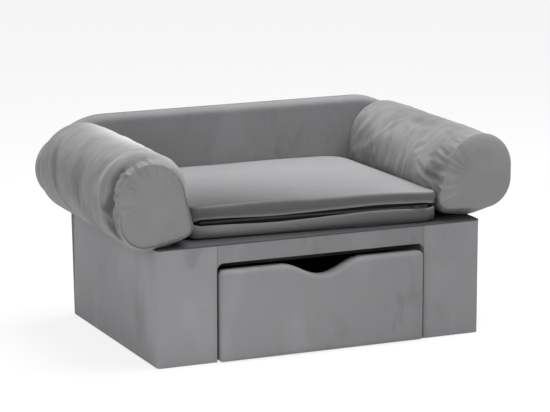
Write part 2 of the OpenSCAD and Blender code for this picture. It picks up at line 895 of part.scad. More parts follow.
// Coil of the zip, as a bar with rounded edges along its whole run
module zip_coil() {
    r = coil_t / 2;
    x = zip_l / 2 - zip_end_gap / 2;
    color(zip_black) zip_frame() translate([-x, coil_face + r, 0]) {
        for (side = [-1, 1]) translate([0, 0, side * (coil_w / 2 - r)])
            rotate([0, 90, 0]) cylinder(r = r, h = 2 * x, $fn = 24);
        translate([0, -r, r - coil_w / 2]) cube([2 * x, coil_t, coil_w - coil_t]);
    }
}

// Slider over the coil, with the bridge that holds the pull tab
module zip_slider() {
    half = slider_half_w;
    color(zip_black) zip_frame() translate([slider_x, 0, 0]) {
        span([-slider_l / 2, slider_l / 2], [slider_face, slider_face + slider_plate_t],
             [-half, half]);
        for (side = [-1, 1]) translate([0, 0, side * (half - slider_wall_t / 2)])
            span([-slider_l / 2, slider_l / 2], [slider_face, tape_face - loose_gap],
                 [-slider_wall_t / 2, slider_wall_t / 2]);
        span([-bridge_half, bridge_half],
             [slider_face - bridge_gap - bridge_t, slider_face - bridge_gap],
             [-bridge_w / 2, bridge_w / 2]);
        for (side = [-1, 1]) translate([side * (bridge_half - bridge_t / 2), 0, 0])
            span([-bridge_t / 2, bridge_t / 2],
                 [slider_face - bridge_gap, slider_face], [-bridge_w / 2, bridge_w / 2]);
    }
}

// Pull tab, hung on its cross pin under the bridge and laid back over the closed coil
module zip_pull() {
    cheek_t = (pull_w - bridge_w) / 2 - pull_gap;
    color(zip_black) zip_frame() translate([slider_x, slider_face - pin_up, 0]) {
        translate([0, 0, -pull_w / 2]) cylinder(r = pin_r, h = pull_w, $fn = 24);
        for (side = [-1, 1]) translate([0, 0, side * (pull_w - cheek_t) / 2])
            span([-pull_reach, 0], [-pin_r, pin_r], [-cheek_t / 2, cheek_t / 2]);
        span([-pull_l, -pull_reach], [-pull_t / 2, pull_t / 2], [-pull_w / 2, pull_w / 2]);
    }
}

foot_glides();
bottom_board();
left_side_board();
right_side_board();
front_board();
back_board();
deck_board();
left_partition();
right_partition();
drawer_runners();
drawer_guides();
stop_rail();
corner_blocks();
deck_screws();
back_screws();
arm_screws();
left_cover();
right_cover();
rail_cover();
rear_cover();
deck_cover();
back_foam();
back_cover();
left_arm_cover();
left_arm_fill();
left_arm_strip();
right_arm_cover();
right_arm_fill();
right_arm_strip();
drawer_front_board();
drawer_front_foam();
drawer_front_cover();
drawer_left_side();
drawer_right_side();
drawer_rear_panel();
drawer_bottom();
drawer_screws();
cushion_cover();
cushion_foam();
zip_tape();
zip_coil();
zip_slider();
zip_pull();
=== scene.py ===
"""Looks of a small upholstered sofa bed for a pet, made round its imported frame."""

import json
import math

import bmesh
import bpy
import numpy as np
from bpy.props import FloatProperty, FloatVectorProperty, IntProperty, PointerProperty
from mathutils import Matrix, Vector, noise


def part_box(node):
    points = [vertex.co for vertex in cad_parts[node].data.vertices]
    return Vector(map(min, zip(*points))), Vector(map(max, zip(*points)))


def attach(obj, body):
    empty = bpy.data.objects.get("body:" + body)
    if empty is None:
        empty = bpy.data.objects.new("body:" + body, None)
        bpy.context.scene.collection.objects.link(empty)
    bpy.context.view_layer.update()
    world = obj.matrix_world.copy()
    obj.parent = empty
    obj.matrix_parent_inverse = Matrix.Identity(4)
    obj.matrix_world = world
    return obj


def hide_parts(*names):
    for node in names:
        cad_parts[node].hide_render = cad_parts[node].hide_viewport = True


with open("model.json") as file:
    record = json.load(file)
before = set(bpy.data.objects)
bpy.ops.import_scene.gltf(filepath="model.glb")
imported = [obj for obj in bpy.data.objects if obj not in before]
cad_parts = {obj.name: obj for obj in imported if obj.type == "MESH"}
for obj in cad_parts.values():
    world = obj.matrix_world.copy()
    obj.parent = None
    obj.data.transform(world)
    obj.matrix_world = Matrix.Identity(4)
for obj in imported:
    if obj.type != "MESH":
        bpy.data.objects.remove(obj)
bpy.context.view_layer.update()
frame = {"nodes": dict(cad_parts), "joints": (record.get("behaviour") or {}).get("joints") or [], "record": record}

bl_info = {
    "name": "Pet Sofa Bed",
    "version": (1, 0, 0),
    "blender": (4, 5, 0),
    "location": "View3D > Sidebar > Sofa Bed",
    "description": "Upholstery, zip, boards and studio of a small sofa bed for a pet",
    "category": "Object",
}

# Faces of the base, read from the frame
DECK_LOW, DECK_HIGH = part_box("deck_cover")
SIDE_LOW, SIDE_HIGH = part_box("right_cover")
REAR_LOW, REAR_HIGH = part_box("rear_cover")
BACK_LOW, BACK_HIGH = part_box("back_cover")
DRAWER_LOW, DRAWER_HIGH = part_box("drawer_front_cover")
RAIL_LOW, RAIL_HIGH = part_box("rail_cover")
TAPE_LOW, TAPE_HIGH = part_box("zip_tape")
COIL_LOW, COIL_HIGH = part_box("zip_coil")
BASE_X = DECK_HIGH.x
BASE_TOP = DECK_HIGH.z
FRONT_Y = DECK_LOW.y
BACK_FRONT = BACK_LOW.y
OPENING_X = SIDE_LOW.x

# Outline of the back's upper corner and of its end: how far a circle's centre lies from the
# middle, its height and its radius, in millimetres
BACK_CORNER = (249, 240, 130)
BACK_END = (319, 278, 60)

# Boards that show through the gap over the drawer, and the dark grey painted over their plywood as the gap's shade
BEHIND_GAP = ("stop_rail", "left_partition", "right_partition")
GAP_SHADE_GREY = (0.21, 0.21, 0.215)

# A loose piece lies this far from what it touches
SKIN_GAP = 0.0004

MM = 0.001
WHITE = (1, 1, 1, 1)
SIDES = ("left", "right")


def length(name, mm, description):
    """A size that the panel shows, written here in millimetres."""
    return FloatProperty(
        name=name, description=description, default=mm * MM, unit="LENGTH", precision=4
    )


def fraction(name, default, description):
    """A number from 0 to 1 that the panel shows."""
    return FloatProperty(name=name, description=description, default=default, min=0, max=1)


def colour(name, default, description):
    """A colour that the panel shows."""
    return FloatVectorProperty(
        name=name, description=description, default=default, size=3, min=0, max=1, subtype="COLOR"
    )


class PlushSettings(bpy.types.PropertyGroup):
    """Colours and pile of the plush and the other cloths."""

    base: colour("Base plush", (0.235, 0.231, 0.236), "Plush of the box, its drawer and the back")
    roll: colour("Roll plush", (0.520, 0.517, 0.521), "Plush of the arm rolls")
    seat: colour("Seat plush", (0.250, 0.247, 0.252), "Plush of the seat cushion")
    deck: colour("Deck cloth", (0.110, 0.108, 0.111), "Cloth over the deck, under the cushion")
    brushed: fraction("Brushed marks", 0.19, "How much darker the plush is where it is brushed")
    mark: length("Mark width", 38, "Width of a mark that a hand leaves in the pile")
    pile: length("Pile", 0.9, "Grain of the short pile")


class RollSettings(bpy.types.PropertyGroup):
    """Cloth of the two arm rolls."""

    gather: length("Gathers", 45, "How far behind the seam a roll reaches its full girth")
    rear_full: fraction("Rear girth", 0.9, "Share of its full girth that a roll keeps at the back")
    seam_in: length("Seam groove", 2.6, "Depth of the groove that the cap's seam pulls in")
    slim: length("Unfilled", 1.5, "How much slimmer a roll is before it is filled")
    pucker: length("Puckers", 4.0, "Height of the puckers that fan out behind the seam")
    folds: FloatProperty(name="Folds", description="How deep the folds are", default=1.0)
    row: length("Weave of the mesh", 3.6, "Distance between the mesh's rings")
    columns: IntProperty(name="Columns", description="Points round a roll", default=144)
    pressure: FloatProperty(name="Filling", description="Pressure of the filling", default=3.0)


class CushionSettings(bpy.types.PropertyGroup):
    """Sizes of the seat cushion."""

    front: length("Front left", -157, "Place of the front left corner along the depth")
    skew: length("Skew", 34, "How much further forward the front right corner lies")
    half: length("Half width", 228, "Half the width along the front")
    rear_half: length("Half rear width", 212, "Half the width at the rear")
    rear: length("Rear", 182, "Place of the rear side along the depth")
    front_r: length("Front corner", 14, "Radius of the front corners")
    rear_r: length("Rear corner", 45, "Radius of the rear corners")
    height: length("Seam height", 55.5, "Height of the top seam above the underside")
    crown: length("Crown", 3.5, "Extra height of the middle")
    end_drop: fraction("End drop", 0.06, "Share of its height that the cushion loses at its ends")
    bulge: length("Boxing bulge", 2.2, "How far the boxing stands out between its seams")
    lean: length("Boxing lean", 3.2, "How far the boxing leans in towards the zip")
    rise: length("Front rise", 3.5, "How much higher the front edge is right of its middle")
    zip_up: length("Zip height", 29, "Height of the zip above the underside")
    band: length("Zip band", 10.4, "Width of the dark band between the zip's lips")
    past: length("Opening past the zip", 10, "How far the lips stay open left of the tape's end")
    bow: length("Zip bow", 3.2, "How far the band's lips bow off a straight line")
    cell: length("Weave of the mesh", 4.2, "Distance between the mesh's points")
    pressure: FloatProperty(name="Filling", description="Pressure of the filling", default=2.0)


class CoverSettings(bpy.types.PropertyGroup):
    """Edges and seams of the covers over the boards."""

    edge: length("Seam roll", 1.5, "Radius with which a cover rolls into its seam")
    top: length("Top roll", 1.8, "Radius with which the covers roll in under the deck's cloth")
    lip: length("Opening's edge", 1.8, "Radius of the covers' edge at the drawer's opening")
    skin: length("Cover", 3.0, "Thickness of a cover with its wadding")
    wave: length("Unevenness", 0.7, "How far the padding under a cover is uneven")
    foot: length("Hem", 1.2, "How far a cover's hem hangs below its board")
    foot_r: length("Hem's corner", 4.0, "Radius of the drawer front's lower corners")
    fillet: length("Opening's corner", 12, "Radius of the opening's upper corners")
    back_edge: length("Back's edge", 11, "Radius of the padded back's edge")
    drawer_edge: length("Drawer's edge", 8, "Radius of the padded drawer front's edge")
    drawer_corner: length("Drawer's corner", 9, "Radius of the drawer front's upper corners")
    scoop: length("Scoop", 156, "Width of the finger scoop")
    scoop_deep: length("Scoop's depth", 24.5, "Depth of the finger scoop")
    corner: length("Front corner", 8, "Radius of the base's upright front edges")
    cell: length("Weave of the mesh", 7, "Distance between the mesh's points")


class ZipSettings(bpy.types.PropertyGroup):
    """Sizes of the zip's teeth and of the stitches beside it."""

    pitch: length("Tooth pitch", 1.9, "Distance between two teeth of one side")
    tooth: length("Tooth length", 2.9, "Length of a tooth across the zip")
    wire: length("Tooth width", 0.62, "Half the width of a tooth along the zip")
    stitch_pitch: length("Stitch pitch", 4.2, "Distance between two stitches")
    stitch: length("Stitch length", 3.0, "Length of a stitch")
    thread: length("Thread", 0.3, "Radius of the thread")


class StudioSettings(bpy.types.PropertyGroup):
    """Camera and lights."""

    lens: FloatProperty(name="Lens", description="Focal length in millimetres", default=178.07)
    place: FloatVectorProperty(
        name="Camera", description="Place of the camera", size=3, subtype="XYZ",
        default=(-1.9326, -4.3622, 1.2461),
    )
    yaw: FloatProperty(
        name="Turn", description="Turn of the view from straight ahead", default=0.41709,
        subtype="ANGLE",
    )
    pitch: FloatProperty(
        name="Tilt", description="Tilt of the view below the horizon", default=0.21219,
        subtype="ANGLE",
    )
    key: FloatProperty(name="Key", description="Power of the lamp overhead", default=54)
    fill: FloatProperty(name="Fill", description="Power of the lamp in front", default=24)
    sky: FloatProperty(name="Sky", description="Strength of the even light", default=0.54)
    floor: fraction("White floor", 0.82, "Share of the floor that shows as plain white")


class SofaBedSettings(bpy.types.PropertyGroup):
    """Everything that can be set on the sofa bed."""

    plush: PointerProperty(type=PlushSettings)
    roll: PointerProperty(type=RollSettings)
    cushion: PointerProperty(type=CushionSettings)
    cover: PointerProperty(type=CoverSettings)
    zip: PointerProperty(type=ZipSettings)
    studio: PointerProperty(type=StudioSettings)


def settings():
    """What is set on the sofa bed in this scene."""
    return bpy.context.scene.sofa_bed


# Materials


class Socket:
    """An output in a finish's tree. Sums on it add their maths nodes."""

    def __init__(self, finish, output):
        self.finish, self.output = finish, output

    def sum(self, operation, *values):
        return self.finish.node("ShaderNodeMath", {"operation": operation}, *values)

    def __add__(self, other):
        return self.sum("ADD", self, other)

    def __sub__(self, other):
        return self.sum("SUBTRACT", self, other)

    def __rsub__(self, other):
        return self.sum("SUBTRACT", other, self)

    def __mul__(self, other):
        return self.sum("MULTIPLY", self, other)

    def clamped(self):
        return self.finish.node(
            "ShaderNodeMath", {"operation": "ADD", "use_clamp": True}, self, 0.0
        )

    __radd__ = __add__
    __rmul__ = __mul__


class Finish:
    """A material or a world being made: its tree, and one way to add a node to it."""

    def __init__(self, name, library="materials"):
        self.made = getattr(bpy.data, library).new(name)
        self.made.use_nodes = True
        self.tree = self.made.node_tree
        self.tree.nodes.clear()

    def node(self, kind, options=None, *values, out=0, **named):
        """Adds a node, sets its options, then sets or links its sockets."""
        made = self.tree.nodes.new(kind)
        for key, value in (options or {}).items():
            setattr(made, key, value)
        for key, value in [*enumerate(values), *named.items()]:
            self.feed(made.inputs[key if isinstance(key, int) else key.replace("_", " ")], value)
        return Socket(self, made.outputs[out]) if made.outputs else None

    def feed(self, target, value):
        if isinstance(value, Socket):
            self.tree.links.new(value.output, target)
        elif value is not None:
            target.default_value = value

    def place(self):
        """Where a point lies, in metres in the object's own frame."""
        return self.node("ShaderNodeTexCoord", out="Object")

    def noise(self, size, detail=2.0, rough=0.5, stretch=(1, 1, 1), bend=0.0, at=(0, 0, 0)):
        """Soft noise with features of a size in metres, longer along stretched axes."""
        scale = tuple(1 / (size * s) for s in stretch)
        spot = self.node("ShaderNodeMapping", None, self.place(), at, (0, 0, 0), scale)
        return self.node(
            "ShaderNodeTexNoise", None, Vector=spot, Scale=1.0, Detail=detail,
            Roughness=rough, Distortion=bend,
        )

    def ramp(self, value, low, high):
        """0 up to low, 1 from high, smooth between."""
        return self.node(
            "ShaderNodeMapRange", {"interpolation_type": "SMOOTHSTEP"}, value, low, high, 0.0, 1.0
        )

    def blend(self, factor, first, second):
        """Two colours, mixed by a factor."""
        made = self.tree.nodes.new("ShaderNodeMix")
        made.data_type = "RGBA"
        self.feed(made.inputs[0], factor)
        self.feed(made.inputs[6], first)
        self.feed(made.inputs[7], second)
        return Socket(self, made.outputs[2])

    def bump(self, height, strength, distance):
        return self.node(
            "ShaderNodeBump", None, Strength=strength, Distance=distance, Height=height
        )

    def done(self, base, rough, **others):
        """Ends the tree in one Principled shader."""
        shader = self.node(
            "ShaderNodeBsdfPrincipled", None, Base_Color=base, Roughness=rough, **others
        )
        self.node("ShaderNodeOutputMaterial", None, shader)
        return self.made


def tint(rgb, factor=1.0):
    return tuple(min(1.0, c * factor) for c in rgb) + (1.0,)


def plush(name, rgb, along, marks, at, sheen):
    """Short pile: marks that a hand left by stroking it, fine grain, and a pale sheen at its edges.

    The pile's marks are longer along the axes that are stretched, and at moves their pattern.
    """
    chosen = settings().plush
    f = Finish(name)
    broad = f.noise(chosen.mark * 1.7, 3.0, 0.55, along, 0.6, at)
    streak = f.noise(chosen.mark * 0.55, 3.0, 0.6, along, 1.2, tuple(a + 0.3 for a in at))
    patch = f.noise(chosen.mark * 4, 1.5, 0.5, (1, 1, 1), 0.0, tuple(a + 0.7 for a in at))
    worn = f.ramp(broad, 0.52, 0.70) * 0.60 + f.ramp(streak, 0.56, 0.74) * 0.55
    worn = (worn * f.ramp(patch, 0.36, 0.60) * marks).clamped()
    lifted = f.noise(chosen.mark * 2.2, 2.0, 0.5, along, 0.4, tuple(a - 0.4 for a in at))
    lifted = f.ramp(lifted, 0.5, 0.72)
    dark, pale = 1 - chosen.brushed * 1.6, 1 + chosen.brushed * 0.9
    tone = f.blend(worn, tint(rgb), tint(rgb, dark))
    tone = f.blend(lifted * 0.55 * marks, tone, tint(rgb, pale))
    grain = f.noise(chosen.pile, 2.0, 0.6)
    fibre = f.noise(chosen.pile * 3.2, 2.0, 0.6, along)
    tone = f.blend(f.ramp(grain, 0.35, 0.75) * 0.10, tone, tint(rgb, 1.25))
    # A point attribute darkens the colour towards black: painted shade, and painted highlight where it is lower
    # than around it
    painted_shade = f.node("ShaderNodeAttribute", {"attribute_name": "brushed"}, out="Fac")
    tone = f.blend(painted_shade, tone, tint(rgb, 0))
    rough = 0.86 - worn * 0.10
    height = grain * 0.6 + fibre * 0.7 + broad * 1.2
    return f.done(
        tone, rough, Normal=f.bump(height, 0.35, 0.0006),
        Sheen_Weight=sheen, Sheen_Roughness=0.45, Sheen_Tint=(0.9, 0.9, 0.92, 1.0),
        Specular_IOR_Level=0.18,
    )


def woven(name, rgb, pitch):
    """Cloth with warp and weft at a pitch in metres."""
    f = Finish(name)
    a, b, c = (
        f.node(
            "ShaderNodeTexWave", {"wave_type": "BANDS", "bands_direction": axis},
            f.place(), 0.314 / pitch, 0.6, 1.0, 2.0, out=1,
        )
        for axis in "XYZ"
    )
    weave = a * b + b * c + a * c
    patch = f.ramp(f.noise(0.03, 2.0), 0.35, 0.7)
    tone = f.blend((weave * 0.35).clamped(), tint(rgb, 0.72), tint(rgb, 1.18))
    tone = f.blend(patch * 0.25, tone, tint(rgb, 0.8))
    return f.done(
        tone, 0.88 - patch * 0.06, Normal=f.bump(weave, 0.4, pitch * 0.3),
        Specular_IOR_Level=0.2,
    )


def plywood(name, rgb):
    """Birch veneer with long soft grain, and pores."""
    f = Finish(name)
    grain = f.noise(0.006, 4.0, 0.6, (14, 3, 9), 1.5)
    broad = f.noise(0.05, 2.0, 0.5, (6, 2, 3), 0.8)
    tone = f.blend(f.ramp(grain, 0.35, 0.68) * 0.55, tint(rgb, 1.12), tint(rgb, 0.74))
    tone = f.blend(f.ramp(broad, 0.4, 0.7) * 0.35, tone, tint(rgb, 0.86))
    return f.done(
        tone, 0.62 + grain * 0.2, Normal=f.bump(grain, 0.25, 0.0004), Specular_IOR_Level=0.35
    )


def moulded(name, rgb, rough, metal=0.0):
    """Moulded plastic or lacquered metal with a faint grain."""
    f = Finish(name)
    grain = f.noise(0.0012, 3.0, 0.6)
    worn = f.ramp(f.noise(0.006, 3.0, 0.6), 0.55, 0.8)
    tone = f.blend(worn * 0.35, tint(rgb), tint(rgb, 1.6))
    return f.done(
        tone, rough + worn * 0.12, Metallic=metal, Normal=f.bump(grain, 0.15, 0.0002)
    )


def foam(name, rgb):
    """Open cells of foam or filling."""
    f = Finish(name)
    cells = f.node("ShaderNodeTexVoronoi", None, f.place(), None, 900.0)
    tone = f.blend(f.ramp(cells, 0.1, 0.6), tint(rgb, 0.72), tint(rgb))
    return f.done(tone, 0.92, Normal=f.bump(cells, 0.5, 0.0006), Specular_IOR_Level=0.15)


def finish(name, make):
    """The material of that name, made the first time that it is asked for."""
    return bpy.data.materials.get(name) or make(name)


# Each pile: how its marks are stretched, how strong they are, where their pattern starts, its sheen
PILES = {
    "base_plush": ((1, 1, 2.6), 1.0, (0, 0, 0), 0.18),
    "roll_plush": ((1.3, 1, 1.6), 0.8, (0.2, 0.1, 0), 0.18),
    "seat_plush": ((1.4, 1.2, 1), 0.5, (0.5, 0, 0), 0.06),
    "deck_cloth": ((1, 1, 1), 0.6, (0, 0, 0), 0.1),
}


def pile(name):
    """One of the four piles, in the colour that its part of the sofa is set to."""
    rgb = getattr(settings().plush, name.split("_")[0])
    return finish(name, lambda n: plush(n, rgb, *PILES[n]))


# Meshes


def placed(name, mesh, body):
    """An object that rides on a body."""
    made = bpy.data.objects.new(name, mesh)
    bpy.context.scene.collection.objects.link(made)
    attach(made, body)
    return made


def piece(name, points, faces, material, body, slot, brushed=None):
    """A closed mesh with its faces outwards, which rides on a body and takes a finish; slot is not used.

    Where it is given, the last argument holds the share by which each point's colour is darkened: painted shade,
    and painted highlight where the share is lower.
    """
    mesh = bpy.data.meshes.new(name)
    mesh.from_pydata(np.asarray(points, float).reshape(-1, 3).tolist(), [], faces)
    if brushed is not None:
        layer = mesh.attributes.new("brushed", "FLOAT", "POINT")
        layer.data.foreach_set("value", np.asarray(brushed, np.float32).ravel())
    work = bmesh.new()
    work.from_mesh(mesh)
    bmesh.ops.remove_doubles(work, verts=work.verts, dist=1e-5)
    bmesh.ops.recalc_face_normals(work, faces=work.faces)
    for face in work.faces:
        face.smooth = True
    work.to_mesh(mesh)
    work.free()
    mesh.materials.append(material)
    return placed(name, mesh, body)


def subdivide(made):
    """Smooths a piece with a live subdivision."""
    modifier = made.modifiers.new("smooth", "SUBSURF")
    modifier.levels = modifier.render_levels = 1


def tube_faces(rows, columns, first=0):
    """Quads between rings that lie one after the other."""
    at = first + np.arange(rows * columns).reshape(rows, columns)
    side = np.roll(at, -1, axis=1)
    quads = np.stack([at[:-1], side[:-1], side[1:], at[1:]], -1)
    return quads.reshape(-1, 4).tolist()


def grid_faces(rows, columns, first=0):
    at = first + np.arange(rows * columns).reshape(rows, columns)
    quads = np.stack([at[:-1, :-1], at[:-1, 1:], at[1:, 1:], at[1:, :-1]], -1)
    return quads.reshape(-1, 4).tolist()


def between(first, last, part):
    return first + (last - first) * part


def soft_noise(points, size, seed=0.0, octaves=2):
    """Noise from -1 to 1 at each point, with features of a size."""
    flat = np.asarray(points, float).reshape(-1, 3) / np.asarray(size, float)
    values = [
        noise.fractal(Vector((x + seed, y - seed, z + 2 * seed)), 1.0, 2.0, octaves)
        for x, y, z in flat
    ]
    return np.array(values).reshape(np.asarray(points).shape[:-1])


def normals_of(grid):
    """Outward directions of a closed tube of rings, seen from outside."""
    round_it = np.roll(grid, -1, 1) - np.roll(grid, 1, 1)
    along = np.gradient(grid, axis=0)
    cross = np.cross(along, round_it)
    return cross / np.maximum(np.linalg.norm(cross, axis=-1, keepdims=True), 1e-12)


def resampled(line, count, closed=False):
    """A line of points at even steps."""
    run = np.vstack([line, line[:1]]) if closed else np.asarray(line)
    steps = np.linalg.norm(np.diff(run, axis=0), axis=1)
    travelled = np.concatenate([[0], np.cumsum(steps)])
    end = travelled[-1]
    marks = np.linspace(0, end, count + 1)[:-1] if closed else np.linspace(0, end, count)
    return np.stack([np.interp(marks, travelled, run[:, k]) for k in range(run.shape[1])], 1)


def settled(points, faces, sewn, pressure, frames, limit, bend=0.8, cut=None):
    """Where the points of a cloth come to rest over its filling. Sewn points stay where they are.

    Where the cloth was cut wider than it is sewn, cut gives its points before sewing.
    """
    start = np.asarray(points, float).reshape(-1, 3)
    mesh = bpy.data.meshes.new("cloth")
    mesh.from_pydata(start.tolist(), [], faces)
    middle = start.mean(0)
    centres = np.array([face.center for face in mesh.polygons]) - middle
    outward = (centres * np.array([face.normal for face in mesh.polygons])).sum(1)
    if outward.sum() < 0:
        mesh.flip_normals()
    cloth = bpy.data.objects.new("cloth", mesh)
    scene = bpy.context.scene
    scene.collection.objects.link(cloth)
    group = cloth.vertex_groups.new(name="sewn")
    group.add(np.flatnonzero(sewn).tolist(), 1.0, "REPLACE")
    modifier = cloth.modifiers.new("cloth", "CLOTH")
    modifier.point_cache.frame_start, modifier.point_cache.frame_end = 1, frames
    chosen = modifier.settings
    chosen.quality = 5
    chosen.mass = 0.3
    chosen.tension_stiffness = chosen.compression_stiffness = 15
    chosen.shear_stiffness = 5
    chosen.bending_stiffness = bend
    chosen.air_damping = 3
    chosen.use_pressure = True
    chosen.uniform_pressure_force = pressure
    chosen.vertex_group_mass = "sewn"
    chosen.effector_weights.gravity = 0
    if cut is not None:
        cloth.shape_key_add(name="Basis")
        key = cloth.shape_key_add(name="cut")
        key.data.foreach_set("co", np.asarray(cut, np.float32).ravel())
        key.value = 0
        chosen.rest_shape_key = key
    for number in range(1, frames + 1):
        scene.frame_set(number)
    ready = cloth.evaluated_get(bpy.context.evaluated_depsgraph_get())
    found = np.zeros(len(start) * 3, np.float32)
    ready.data.vertices.foreach_get("co", found)
    bpy.data.objects.remove(cloth)
    bpy.data.meshes.remove(mesh)
    scene.frame_set(1)
    moved = found.reshape(-1, 3) - start
    far = np.linalg.norm(moved, axis=1, keepdims=True)
    return start + moved * np.minimum(1, limit / np.maximum(far, 1e-9))


def stitch():
    """One stitch: a short piece of thread that dips into the cloth at both ends."""
    z = settings().zip
    turn = np.linspace(0, 2 * math.pi, 7)[:-1]
    rings = []
    for part in np.linspace(-1, 1, 6):
        size = z.thread * (1 - 0.75 * part**6)
        centre = np.array([part * z.stitch / 2, 0, 0]) + np.array([0, z.thread * 0.9 * part**2, 0])
        rings.append([centre + np.array([0, math.cos(a) * size, math.sin(a) * size]) for a in turn])
    faces = tube_faces(6, 6) + [list(range(6)), [30 + k for k in reversed(range(6))]]
    mesh = bpy.data.meshes.new("stitch")
    mesh.from_pydata(np.array(rings).reshape(-1, 3).tolist(), [], faces)
    return mesh


def repeater():
    """Geometry nodes that put copies of a small mesh at even steps along lines."""
    known = bpy.data.node_groups.get("copies_along_lines")
    if known:
        return known
    tree = bpy.data.node_groups.new("copies_along_lines", "GeometryNodeTree")
    face = tree.interface
    inputs = (("Lines", "Geometry"), ("Copy", "Object"), ("Step", "Float"), ("Finish", "Material"))
    for name, kind in inputs:
        face.new_socket(name, in_out="INPUT", socket_type="NodeSocket" + kind)
    face.new_socket("Copies", in_out="OUTPUT", socket_type="NodeSocketGeometry")

    def node(kind, options=(), **links):
        new = tree.nodes.new(kind)
        for name, value in options:
            setattr(new, name, value)
        for name, source in links.items():
            tree.links.new(source, new.inputs[name])
        return new

    given = node("NodeGroupInput")
    curve = node("GeometryNodeMeshToCurve", Mesh=given.outputs["Lines"])
    even = node(
        "GeometryNodeResampleCurve", [("mode", "LENGTH")],
        Curve=curve.outputs["Curve"], Length=given.outputs["Step"],
    )
    unit = node("GeometryNodeObjectInfo", Object=given.outputs["Copy"])
    way = node("GeometryNodeInputTangent")
    turned = node(
        "FunctionNodeAlignRotationToVector", [("axis", "X")], Vector=way.outputs["Tangent"]
    )
    copies = node(
        "GeometryNodeInstanceOnPoints", Points=even.outputs["Curve"],
        Instance=unit.outputs["Geometry"], Rotation=turned.outputs["Rotation"],
    )
    real = node("GeometryNodeRealizeInstances", Geometry=copies.outputs["Instances"])
    done = node(
        "GeometryNodeSetMaterial", Geometry=real.outputs["Geometry"],
        Material=given.outputs["Finish"],
    )
    node("NodeGroupOutput", Copies=done.outputs["Geometry"])
    return tree


def repeated(name, lines, unit, step, material, body, slot):
    """Copies of a small mesh along lines, made by geometry nodes and kept as a plain mesh."""
    points, edges = [], []
    for line in lines:
        first = len(points)
        points += [tuple(p) for p in line]
        edges += [(k, k + 1) for k in range(first, len(points) - 1)]
    mesh = bpy.data.meshes.new(name)
    mesh.from_pydata(points, edges, [])
    carrier = bpy.data.objects.new(name + "_lines", mesh)
    single = bpy.data.objects.new(name + "_unit", unit)
    for item in (carrier, single):
        bpy.context.scene.collection.objects.link(item)
    modifier = carrier.modifiers.new("copies", "NODES")
    modifier.node_group = repeater()
    values = {"Copy": single, "Step": step, "Finish": material}
    for item in modifier.node_group.interface.items_tree:
        if item.in_out == "INPUT" and item.name in values:
            modifier[item.identifier] = values[item.name]
    carrier.update_tag()
    bpy.context.view_layer.update()
    ready = carrier.evaluated_get(bpy.context.evaluated_depsgraph_get())
    found = bpy.data.meshes.new_from_object(ready)
    for item in (carrier, single):
        bpy.data.objects.remove(item)
    found.name = name
    for face in found.polygons:
        face.use_smooth = True
    if not found.materials:
        found.materials.append(material)
    return placed(name, found, body)


# Arm rolls


# Circles that bound each roll's section, as the distance of a centre from the sofa's middle, its
# height and its radius, in millimetres: the upper part, the part over the side, the toe on the deck
SECTIONS = {
    "left": {
        "cap": ((314, 297, 60), (326, 260, 48), (261, 244, 20)),
        "front": ((306, 297, 71), (303, 266, 71.5), (263, 236, 26)),
        "rear": ((300.5, 281.5, 83.5), (311, 274, 71), (272, 260, 50)),
    },
    "right": {
        "cap": ((311.5, 299, 62), (321.5, 277, 52), (252, 250, 21)),
        "front": ((300, 295.5, 70.5), (296, 279, 74), (263, 236, 26)),
        "rear": ((302, 292, 70), (304, 271, 66), (280, 261, 50)),
    },
}

